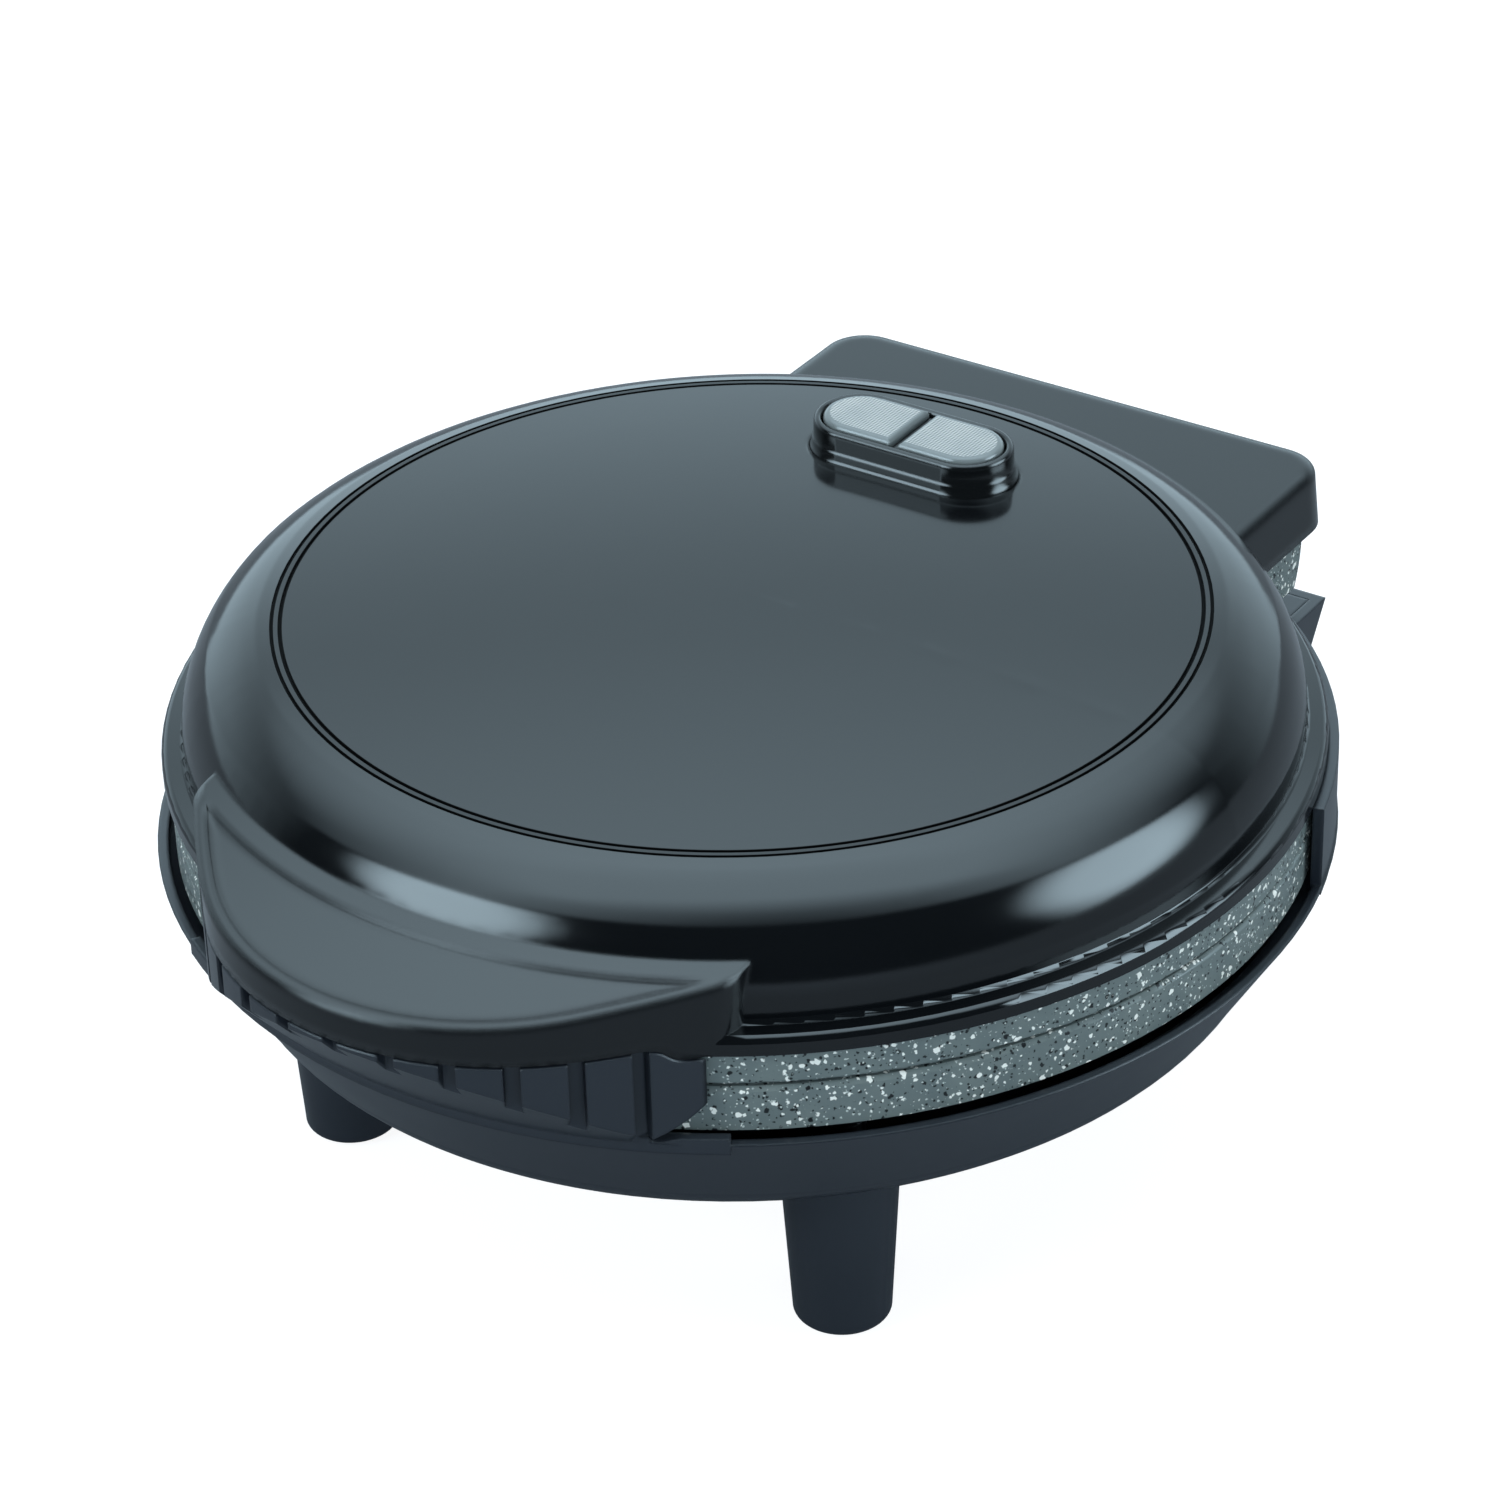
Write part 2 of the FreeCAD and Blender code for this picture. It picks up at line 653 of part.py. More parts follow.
def foot():
    """One hollow tapered foot with a recess for its pad and a peg into the bowl."""
    recess_top = s.pad_height
    low = s.pad_show
    return revolved(
        "foot",
        (
            (s.pad_radius + s.slip_gap, low),
            (s.foot_bottom_radius - s.foot_round, low),
            bulged(
                (s.foot_bottom_radius - s.foot_round, low),
                (s.foot_bottom_radius, low + s.foot_round),
                s.foot_round * 0.2,
            ),
            (s.foot_bottom_radius, low + s.foot_round),
            (s.foot_top_radius, bowl_bottom),
            (s.spigot_radius, bowl_bottom),
            (s.spigot_radius, bowl_bottom + s.spigot_height),
            (s.spigot_radius - s.foot_wall, bowl_bottom + s.spigot_height),
            (s.spigot_radius - s.foot_wall, recess_top + s.foot_wall),
            (0, recess_top + s.foot_wall),
            (0, recess_top),
            (s.pad_radius + s.slip_gap, recess_top),
        ),
    )


def copies_at_feet(item, name):
    """Four copies of a foot piece at the foot centres."""
    made = []
    for x_side in SIDES:
        for y_side in SIDES:
            copy = add("Part::Compound", name)
            copy.Links = [item]
            made.append(place(copy, x_side * s.foot_offset, y_side * s.foot_offset))
    return made


def feet():
    sub_part(group("feet_group", copies_at_feet(foot(), "foot_copy")), "feet")
    pad = disc("pad", s.pad_radius, (0, s.pad_height))
    sub_part(group("pad_group", copies_at_feet(pad, "pad_copy")), "foot_pads")


def bowl_outline():
    """Outer half section of the bowl."""
    flat = (rim_radius - s.bowl_flat_set_in, bowl_bottom)
    turn = (rim_radius - s.bowl_turn_in, bowl_bottom + s.bowl_turn_height)
    return (
        (0, bowl_bottom),
        flat,
        bulged(flat, turn, s.bowl_turn_bulge),
        turn,
        (rim_radius, rim_top),
        (0, rim_top),
    )


def bowl_hollow_outline():
    """Inner half section of the bowl, with the gutter below the rim."""
    ledge = rim_top - s.gutter_depth
    turn = (
        rim_radius - s.bowl_turn_in - s.wall,
        bowl_bottom + s.bowl_turn_height + s.wall * 0.6,
    )
    flat = (rim_radius - s.bowl_flat_set_in - s.wall, bowl_floor)
    return (
        (0, bowl_floor),
        flat,
        bulged(flat, turn, s.bowl_turn_bulge * 0.6),
        turn,
        (rim_inside - s.gutter_width, ledge - s.wall * 0.5),
        (rim_inside, ledge),
        (rim_inside, rim_top + s.wall),
        (0, rim_top + s.wall),
    )


def along(name, outline, y, depth):
    """A front outline, drawn as (x, z), run along Y."""
    sketch = add("Sketcher::SketchObject", name + "_front")
    draw(sketch, outline)
    turn = FreeCAD.Rotation(FreeCAD.Vector(1, 0, 0), 90)
    sketch.Placement = FreeCAD.Placement(FreeCAD.Vector(0, as_size(y).value, 0), turn)
    sketch.setExpression("Placement.Base.y", as_size(y).formula)
    item = add("Part::Extrusion", name)
    item.Base = sketch
    item.DirMode = "Custom"
    item.Dir = FreeCAD.Vector(0, 1, 0)
    item.Solid = True
    return bind(item, LengthFwd=depth)


def mirrored(points):
    """An outline's right half followed by its mirror image."""
    left = []
    for item in reversed(points):
        if isinstance(item, Via):
            left.append(Via(-item.place[0], item.place[1]))
        else:
            left.append((-item[0], item[1]))
    return (*points, *left)


def under_parting(name, level):
    """Everything below the wavy parting of the handle, its middle stretch at a level."""
    start = (wave_start, level)
    middle = (wave_start + s.parting_wave / 2, level - s.parting_drop / 2)
    end = (wave_start + s.parting_wave, level - s.parting_drop)
    bulge = s.parting_drop * 0.13
    far = s.root_half_width + s.wall
    right = (
        (far, bowl_bottom),
        (far, end[1]),
        end,
        bulged(end, middle, -bulge),
        middle,
        bulged(middle, start, bulge),
        start,
    )
    return along(name, mirrored(right), -handle_reach, handle_reach)


def heels():
    """The corners that the rounded ends of the lower handle leave free."""
    made = []
    inner = s.root_half_width - s.heel_in
    top = rim_raised + s.heel_height
    far = s.root_half_width + s.wall
    for side in SIDES:
        start = (side * inner, rim_raised)
        end = (side * (s.root_half_width - s.tip_round * 0.67), top)
        outline = (
            start,
            bulged(start, end, s.heel_bulge * side),
            end,
            (side * far, top),
            (side * far, rim_raised),
        )
        made.append(along("heel", outline, -handle_reach, handle_reach))
    return made


def raised_rim():
    """The stretch of rim before and beside the handle, a step higher than the rest."""
    half = s.rim_step_half_angle
    ring = add("Part::Cylinder", "raised_rim_ring")
    bind(ring, Radius=rim_radius, Height=s.rim_step + s.gutter_depth, Angle=2 * half)
    place(ring, z=rim_top - s.gutter_depth, angle=-90 - half)
    return cut("raised_rim", ring, disc("raised_rim_core", rim_inside, (bowl_bottom, rim_raised)))


def hinge_box_block(name, inset, top, bottom, front):
    """The lower hinge box or its hollow: a block whose side and rear walls lean in downward."""
    item = add("Part::Wedge", name)
    side = lower_box_half - inset
    rear = lower_box_rear - inset
    lean = s.lower_box_draft * (top - bottom) / s.lower_box_depth
    bind(item, Ymin=0, Ymax=top - bottom)
    bind(item, Xmin=lean - side, Xmax=side - lean, X2min=-side, X2max=side)
    bind(item, Zmin=lean - rear, Zmax=-front, Z2min=-rear, Z2max=-front)
    return place(item, z=bottom, axis=(1, 0, 0), angle=90)


def lower_handle():
    """The bowl's half of the handle: an open box on a coned underside, with finger slots."""
    lean = s.handle_length / (lower_parting - s.nose_wall - rim_top)
    cone_start = rim_top - s.wall
    cone_radius = rim_radius - s.wall * lean
    height = lower_parting - cone_start
    top_radius = cone_radius + height * lean
    blank = extruded("lower_handle_blank", handle_outline(as_size(0), s.handle_back), cone_start, height)
    under = revolved(
        "lower_handle_under",
        (
            (0, cone_start),
            (cone_radius, cone_start),
            (top_radius, lower_parting),
            (0, lower_parting),
        ),
    )
    body = common("lower_handle_body", blank, under)
    body = common("lower_handle_waved", body, under_parting("lower_wave", lower_parting))
    inside = extruded(
        "lower_handle_inside", handle_outline(s.handle_wall, s.handle_back), cone_start, height + s.wall
    )
    floor = revolved(
        "lower_handle_floor",
        (
            (0, cone_start + s.wall),
            (cone_radius - s.wall * lean, cone_start + s.wall),
            (top_radius - s.wall * lean, lower_parting + s.wall),
            (0, lower_parting + s.wall),
        ),
    )
    inner_face = rim_inside + s.slip_gap * 2
    core = disc("lower_handle_core", inner_face + s.wall, (cone_start, lower_parting + s.wall))
    hollow = cut("lower_handle_hollow", common("lower_handle_room", inside, floor), core)
    ribs = [
        box(
            "lower_handle_rib",
            (side * s.rib_offset - s.rib_width / 2, side * s.rib_offset + s.rib_width / 2),
            (-handle_reach, -s.handle_back),
            (cone_start, lower_parting - s.handle_wall),
        )
        for side in SIDES
    ]
    hollow = cut("lower_handle_ribbed", hollow, *ribs)
    clear = disc("lower_handle_clear", inner_face, (cone_start, lower_parting + s.wall))
    return cut("lower_handle", body, hollow, clear, finger_slots(cone_start, height), *heels())


def finger_slots(bottom, height):
    """Upright slots fanned about the centre of the handle's front arc."""
    half = s.nose_half_width
    depth = s.nose_depth
    arc = (half * half + depth * depth) / (2 * depth)
    centre_y = arc - handle_reach
    reach = arc * 2
    bars = []
    count = int(s.slot_side_count.value)
    for number in range(-count, count + 1):
        bar = box("slot_bar", (-s.slot_width / 2, s.slot_width / 2), (-reach, 0), (bottom, bottom + height))
        holder = add("Part::Compound", "slot_holder")
        holder.Links = [bar]
        bars.append(place(holder, 0, centre_y, 0, angle=s.slot_pitch * number))
    core = extruded("slot_core", handle_outline(s.slot_depth, s.handle_back), bottom, height)
    return cut("finger_slots", fuse("slot_bars", *bars), core)


def base_posts():
    """Posts on the bowl's floor under the lower plate's fixing screws."""
    posts = []
    holes = []
    for angle in QUARTERS:
        x, y = round_the_ring(s.fixing_radius, angle)
        top = lower_boss_end - s.sheet
        posts.append(disc("base_post", s.boss_radius, (bowl_bottom, top), x, y))
        bore = s.screw_radius + s.slip_gap * 2
        holes.append(disc("base_post_bore", bore, (bowl_bottom, top), x, y))
        head = s.screw_head_radius + s.slip_gap * 4
        deep = (bowl_bottom, bowl_bottom + s.counterbore_depth)
        holes.append(disc("base_counterbore", head, deep, x, y))
    return posts, holes


def gland_face():
    """Where the leaning rear wall of the lower hinge box crosses the gland's axis."""
    lean = s.lower_box_draft * (1 - (s.gland_height + s.wall) / s.lower_box_depth)
    return lower_box_rear - lean


def base_housing():
    """The bowl with its shroud, hinge box and half of the handle, as one moulding."""
    outer = revolved("bowl_outer", bowl_outline())
    hollow = revolved("bowl_hollow", bowl_hollow_outline())
    front = dome_radius - s.box_half_width / 2
    hinge_block = hinge_box_block("hinge_block", as_size(0), lower_box_top, lower_box_bottom, front)
    hinge_room = hinge_box_block(
        "hinge_room", s.wall, lower_box_top, lower_box_bottom + s.wall, front - s.wall
    )
    guard = disc("rim_guard", rim_radius, (lower_box_top - s.wall * 2, lower_box_top))
    hinge_room = cut("hinge_room_behind", hinge_room, guard)
    shroud_top = lid_bottom - s.shroud_gap
    shroud_start = rim_top - s.gutter_depth
    shroud = add("Part::Cylinder", "shroud")
    shroud_inside = s.plate_radius + s.shroud_inner_gap
    shroud_radius = shroud_inside + s.shroud_wall
    bind(shroud, Radius=shroud_radius, Height=shroud_top - shroud_start)
    bind(shroud, Angle=180 - 2 * s.shroud_start)
    place(shroud, z=shroud_start, angle=s.shroud_start)
    shroud_core = disc("shroud_core", shroud_inside, (shroud_start, shroud_top))
    gap = box(
        "shroud_gap",
        (-s.box_half_width - s.running_gap, s.box_half_width + s.running_gap),
        (0, upper_box_rear),
        (lower_box_top, shroud_top),
    )
    rear_wall = cut("rear_shroud", shroud, shroud_core, gap)
    posts, holes = base_posts()
    for x_side in SIDES:
        for y_side in SIDES:
            x = x_side * s.foot_offset
            y = y_side * s.foot_offset
            bore = s.spigot_radius + s.slip_gap
            holes.append(disc("spigot_hole", bore, (bowl_bottom, bowl_floor), x, y))
    gland_tools = []
    face = gland_face() + s.running_gap * 2 - s.slip_gap
    for radius, start in ((s.gland_radius, hinge_y), (s.gland_radius + s.gland_flange, face)):
        tool = add("Part::Cylinder", "gland_tool")
        bind(tool, Radius=radius + s.slip_gap, Height=upper_box_rear - start)
        gland_tools.append(place(tool, 0, upper_box_rear, gland_z, axis=(1, 0, 0), angle=90))
    for x in (-cover_screw_x, cover_screw_x):
        post_top = lower_box_top - s.box_cover
        y = hinge_y + s.cover_screw_back
        posts.append(disc("cover_post", s.ear_width / 2, (lower_box_bottom, post_top), x, y))
        limits = (post_top - s.small_screw_reach, post_top)
        holes.append(disc("cover_post_bore", s.small_screw_radius, limits, x, y))
    shell = cut("base_shell", fuse("base_outer", outer, hinge_block), hollow, hinge_room)
    whole = fuse("base_whole", shell, rear_wall, raised_rim(), lower_handle(), *posts)
    sub_part(cut("base_housing", whole, *holes, *gland_tools), "base_housing")


def hinge_box_cover():
    """The plate that closes the lower hinge box, with two sunk screws."""
    low = lower_box_top - s.box_cover
    sink = lower_box_top - s.small_head_height
    gap = s.slip_gap
    plate = hinge_box_block("cover_plate", s.wall + gap, lower_box_top, low, dome_radius - s.wall)
    tools = [disc("cover_front", rim_radius + gap, (low, lower_box_top))]
    screws = []
    y = hinge_y + s.cover_screw_back
    for x in (-cover_screw_x, cover_screw_x):
        tools.append(disc("cover_sink", s.small_head_radius + gap, (sink, lower_box_top), x, y))
        tools.append(disc("cover_hole", s.small_screw_radius + gap, (low, sink), x, y))
        screws.append(small_screw("cover_screw", x, y, sink, low - s.small_screw_reach))
    sub_part(cut("hinge_box_cover", plate, *tools), "hinge_box_cover")
    sub_part(group("cover_screw_group", screws), "hinge_cover_screws")


def plate_disc(name, edge, land_back, skirt_end, direction):
    """The land and outer wall of a plate, drawn from its cooking face."""
    inside = s.plate_radius - s.plate_wall
    step = s.plate_edge_round * direction
    edge_corner = (s.plate_radius - s.plate_edge_round, edge)
    edge_side = (s.plate_radius, edge - step)
    return revolved(
        name,
        (
            (0, edge),
            edge_corner,
            bulged(edge_corner, edge_side, -s.plate_edge_round * 0.2 * direction),
            edge_side,
            (s.plate_radius, skirt_end),
            (inside, skirt_end),
            (inside, land_back),
            (0, land_back),
        ),
    )


def well_blocks(name, face, depth, direction):
    """The cast bodies round the two wells and the tapered pockets in them."""
    bodies = []
    pockets = []
    half = s.divider / 2
    back = depth + s.plate_wall
    for side in SIDES:
        body_plan = half_moon(half - s.plate_wall, well_radius + s.plate_wall, s.well_corner, side)
        body = extruded(name + "_body", body_plan, face, back)
        pocket = extruded(
            name + "_pocket", half_moon(half, well_radius, s.well_corner, side), face, depth, -s.well_draft
        )
        if direction < 0:
            body.Dir = FreeCAD.Vector(0, 0, -1)
            pocket.Dir = FreeCAD.Vector(0, 0, -1)
        bodies.append(body)
        pockets.append(pocket)
    return bodies, pockets


def lower_lugs():
    """The lower plate's two hinge lugs, reaching back from its outer wall."""
    lugs = []
    inner = s.knuckle_outer_x - s.knuckle_width
    front = s.plate_radius - s.box_half_width / 3
    low = hinge_z - s.lug_drop
    arm_top = hinge_z - s.lug_front_drop
    heel = (hinge_y + s.knuckle_radius - s.lug_lean, low)
    rear = (hinge_y + s.knuckle_radius, hinge_z)
    outline = (
        (front, low),
        heel,
        bulged(heel, rear, s.lug_lean / 4),
        rear,
        Via(hinge_y, hinge_z + s.knuckle_radius),
        (hinge_y - s.knuckle_radius, hinge_z),
        (hinge_y - s.knuckle_radius, arm_top),
        (front, arm_top),
    )
    for start in (inner, -s.knuckle_outer_x):
        lugs.append(across("lower_lug", outline, start, s.knuckle_width))
    return lugs


def upper_lugs():
    """The upper plate's two hinge lugs, beside the lower ones."""
    lugs = []
    outer = s.knuckle_outer_x - s.knuckle_width - s.lug_gap
    front = s.plate_radius - s.box_half_width / 3
    radius = s.upper_lug_radius
    low = upper_plate_bottom
    high = lid_bottom - s.slip_gap * 2
    drop = hinge_z - low
    rise = high - hinge_z
    low_run = root(radius * radius - drop * drop)
    high_run = root(radius * radius - rise * rise)
    outline = (
        (front, low),
        (hinge_y - low_run, low),
        Via(hinge_y + radius, hinge_z),
        (hinge_y - high_run, high),
        (front, high),
    )
    for start in (outer - s.upper_lug_width, -outer):
        lugs.append(across("upper_lug", outline, start, s.upper_lug_width))
    return lugs


def lower_plate():
    """The lower cast plate: two wells, outer wall, hinge lugs and screw bosses."""
    land_back = lower_plate_top - s.plate_wall
    skirt_end = lower_plate_top - s.lower_skirt
    flat = plate_disc("lower_flat", lower_plate_top, land_back, skirt_end, 1)
    bodies, pockets = well_blocks("lower_well", lower_plate_top, s.lower_well_depth, -1)
    bosses = []
    holes = []
    for angle in QUARTERS:
        x, y = round_the_ring(s.fixing_radius, angle)
        top = land_back if angle in (90, 270) else lower_well_back
        bosses.append(disc("lower_boss", s.boss_radius, (lower_boss_end, top), x, y))
        end = lower_well_back + s.plate_wall - s.screw_bite
        holes.append(disc("lower_boss_bore", s.screw_radius, (lower_boss_end, end), x, y))
    inner = s.knuckle_outer_x - s.knuckle_width
    outer = s.knuckle_outer_x - s.lug_skin
    for limits in ((inner, outer), (-outer, -inner)):
        holes.append(rod("lower_lug_bore", s.pin_radius, limits, hinge_y, hinge_z))
    for side in SIDES:
        y = side * thermostat_screw_y
        low = lower_well_back - s.thermostat_height
        bosses.append(disc("bracket_boss", s.ear_width / 2, (low, lower_well_back), 0, y))
        bore_end = low + s.small_screw_reach
        holes.append(disc("bracket_boss_bore", s.small_screw_radius, (low, bore_end), 0, y))
    whole = fuse("lower_plate_whole", flat, *bodies, *lower_lugs(), *bosses)
    sub_part(cut("lower_plate", whole, *pockets, *holes), "lower_plate")


def upper_plate():
    """The upper cast plate: the same wells facing down, with counterbored screw holes."""
    land_back = upper_plate_bottom + s.plate_wall
    flat = plate_disc("upper_flat", upper_plate_bottom, land_back, lid_bottom, -1)
    bodies, pockets = well_blocks("upper_well", upper_plate_bottom, s.upper_well_depth, 1)
    bosses = []
    holes = []
    for angle in QUARTERS:
        x, y = round_the_ring(s.fixing_radius, angle)
        low = land_back if angle in (90, 270) else upper_well_back
        bosses.append(disc("upper_boss", s.boss_radius, (low, upper_boss_end), x, y))
        start = upper_well_back - s.plate_wall + s.screw_bite
        holes.append(disc("upper_boss_bore", s.screw_radius, (start, upper_boss_end), x, y))
    for angle in DIAGONALS:
        x, y = round_the_ring(lid_fixing_radius, angle)
        bosses.append(disc("lid_boss", s.boss_radius, (upper_plate_bottom, lid_bottom), x, y))
        bore = s.screw_radius + s.slip_gap
        holes.append(disc("lid_boss_bore", bore, (upper_plate_bottom, lid_bottom), x, y))
        head = s.screw_head_radius + s.slip_gap * 2
        deep = (upper_plate_bottom, upper_plate_bottom + s.screw_head_height + s.slip_gap)
        holes.append(disc("lid_screw_sink", head, deep, x, y))
    outer = s.knuckle_outer_x - s.knuckle_width - s.lug_gap
    for start in (outer - s.upper_lug_width, -outer):
        radius = s.pin_radius + s.pin_clearance
        bore = rod("upper_lug_bore", radius, (start, start + s.upper_lug_width), hinge_y, hinge_z)
        holes.append(bore)
    for side in SIDES:
        y = side * fuse_screw_y - s.fuse_y
        low = upper_well_back + s.sheet - s.small_screw_reach
        holes.append(disc("strap_bore", s.small_screw_radius, (low, upper_well_back), s.fuse_x, y))
    whole = fuse("upper_plate_whole", flat, *bodies, *upper_lugs(), *bosses)
    sub_part(cut("upper_plate", whole, *pockets, *holes), "upper_plate")


def heater(label, z):
    """A heater ring open at the back, whose two tails run to the rear."""
    middle = s.tail_offset + s.tail_bend
    reach = s.heater_radius + s.tail_bend
    rise = root(reach * reach - middle * middle)
    meet_x = middle * s.heater_radius / reach
    meet_y = rise * s.heater_radius / reach
    lean_x = -(reach + middle)
    swing = root(lean_x * lean_x + rise * rise)
    blend_x = middle + s.tail_bend * lean_x / swing
    blend_y = rise - s.tail_bend * rise / swing
    path = (
        (s.tail_offset, s.tail_reach),
        (s.tail_offset, rise),
        Via(blend_x, blend_y),
        (meet_x, meet_y),
        Via(0, -s.heater_radius),
        (-meet_x, meet_y),
        Via(-blend_x, blend_y),
        (-s.tail_offset, rise),
        (-s.tail_offset, s.tail_reach),
    )
    spine = sketch_flat(label + "_path", path, z, closed=False)
    ring = add("Part::Circle", label + "_round")
    bind(ring, Radius=s.tube_radius)
    place(ring, s.tail_offset, s.tail_reach, z, axis=(1, 0, 0), angle=90)
    tube = add("Part::Sweep", label + "_tube")
    tube.Sections = [ring]
    tube.Spine = (spine, ["Edge%d" % number for number in range(1, 6)])
    tube.Solid = True
    pins = []
    for side in SIDES:
        pin = add("Part::Cylinder", label + "_pin")
        bind(pin, Radius=s.pin_boss_radius, Height=s.pin_boss_length + s.tube_radius)
        rear = s.tail_reach + s.pin_boss_length
        pins.append(place(pin, side * s.tail_offset, rear, z, axis=(1, 0, 0), angle=90))
    sub_part(fuse(label, tube, *pins), label)


def reflector(label, flange_face, direction):
    """A pressed dish round a heater, with screw holes in its rim and a way out for the tails."""
    far = flange_face + direction * s.reflector_depth
    near = flange_face + direction * s.sheet
    outline = (
        (0, far),
        (s.reflector_radius, far),
        (s.reflector_radius, flange_face),
        (s.reflector_rim, flange_face),
        (s.reflector_rim, near),
        (s.reflector_radius + s.sheet, near),
        (s.reflector_radius + s.sheet, far + direction * s.sheet),
        (0, far + direction * s.sheet),
    )
    pan = revolved(label + "_pan", outline)
    holes = []
    for angle in QUARTERS:
        x, y = round_the_ring(s.fixing_radius, angle)
        base = near if direction < 0 else flange_face
        bore = s.screw_radius + s.slip_gap * 2
        holes.append(disc(label + "_hole", bore, (base, base + s.sheet), x, y))
    play = s.tube_radius + s.running_gap * 2
    low = far if direction < 0 else flange_face
    ways = []
    for side in SIDES:
        tail = side * s.tail_offset
        limits = (low, low + s.reflector_depth)
        ways.append(box(label + "_way", (tail - play, tail + play), (s.heater_radius, s.tail_reach), limits))
    sub_part(cut(label, pan, *holes, *ways), label)


def screw(name, x, y, head, end):
    """A pan-head screw whose head starts at one height and whose shank ends at another."""
    upward = end.value > head.value
    low = head if upward else head - s.screw_head_height
    top = disc(name + "_head", s.screw_head_radius, (low, low + s.screw_head_height), x, y)
    seat = low + s.screw_head_height if upward else low
    limits = (seat, end) if upward else (end, seat)
    return fuse(name, top, disc(name + "_shank", s.screw_radius, limits, x, y))


def small_screw(name, x, y, seat, end):
    """A small screw whose head lies under, or on, its seat and whose shank ends in metal."""
    upward = end.value > seat.value
    head = (seat - s.small_head_height, seat) if upward else (seat, seat + s.small_head_height)
    shank = (seat, end) if upward else (end, seat)
    top = disc(name + "_head", s.small_head_radius, head, x, y)
    return fuse(name, top, disc(name + "_shank", s.small_screw_radius, shank, x, y))


def plate_screws():
    lower = []
    upper = []
    for angle in QUARTERS:
        x, y = round_the_ring(s.fixing_radius, angle)
        head = bowl_bottom + s.counterbore_depth - s.screw_head_height
        end = lower_well_back + s.plate_wall - s.screw_bite
        lower.append(screw("lower_screw", x, y, head, end))
        head = upper_boss_end + s.sheet + s.screw_head_height
        end = upper_well_back - s.plate_wall + s.screw_bite
        upper.append(screw("reflector_screw", x, y, head, end))
    lid = []
    for angle in DIAGONALS:
        x, y = round_the_ring(lid_fixing_radius, angle)
        head = upper_plate_bottom + s.slip_gap
        lid.append(screw("lid_screw", x, y, head, lid_bottom + s.lid_screw_reach))
    sub_part(group("lower_screw_group", lower), "lower_plate_screws")
    sub_part(group("reflector_screw_group", upper), "upper_reflector_screws")
    sub_part(group("lid_screw_group", lid), "upper_plate_screws")


def hinge_pins():
    """Two short pins, tight in blind bores of the lower lugs, with clips on their inner ends."""
    pins = []
    clips = []
    inner = s.knuckle_outer_x - s.knuckle_width - s.lug_gap - s.upper_lug_width
    end = inner - s.pin_tail
    for side in SIDES:
        limits = (end, s.knuckle_outer_x - s.lug_skin)
        clip = (end + s.pin_tail / 2 - s.clip_width / 2, end + s.pin_tail / 2 + s.clip_width / 2)
        if side < 0:
            limits, clip = [(-pair[1], -pair[0]) for pair in (limits, clip)]
        pins.append(rod("hinge_pin", s.pin_radius, limits, hinge_y, hinge_z))
        ring = rod("clip_ring", s.clip_radius, clip, hinge_y, hinge_z)
        clips.append(cut("pin_clip", ring, rod("clip_bore", s.pin_radius, clip, hinge_y, hinge_z)))
    sub_part(group("hinge_pin_group", pins), "hinge_pins")
    sub_part(group("pin_clip_group", clips), "pin_clips")


def terminal_block():
    """The screw terminal in the lower hinge box, seated on its floor."""
    floor = lower_box_bottom + s.wall
    left = -s.box_half_width / 2 - s.terminal_length / 2
    rear = hinge_y
    body = box(
        "terminal_body",
        (left, left + s.terminal_length),
        (rear - s.terminal_width, rear),
        (floor, floor + s.terminal_height),
    )
    wells = []
    for number in (1, 2, 3):
        x = left + s.terminal_length * (2 * number - 1) / 6
        top = floor + s.terminal_height
        y = rear - s.terminal_width / 2
        wells.append(disc("terminal_well", s.screw_radius, (top - s.screw_head_height, top), x, y))
    sub_part(cut("terminal_block", body, *wells), "terminal_block")


def cord_gland():
    """The bushing in the hinge box's rear wall that the supply cord would leave through."""
    outside = gland_face()
    outer = outside + s.gland_flange
    inside = outside - s.wall - s.gland_flange * 2
    pieces = []
    for name, radius, start, end in (
        ("gland_neck", s.gland_radius, inside, outer),
        ("gland_outer", s.gland_radius + s.gland_flange, outside + s.running_gap * 2, outer),
        ("gland_inner", s.gland_radius + s.gland_flange, inside, inside + s.gland_flange),
        ("gland_hole_through", s.gland_bore, inside, outer),
    ):
        piece = add("Part::Cylinder", name)
        bind(piece, Radius=radius, Height=end - start)
        pieces.append(place(piece, 0, end, gland_z, axis=(1, 0, 0), angle=90))
    sub_part(cut("cord_gland", fuse("gland_body", *pieces[:3]), pieces[3]), "cord_gland")


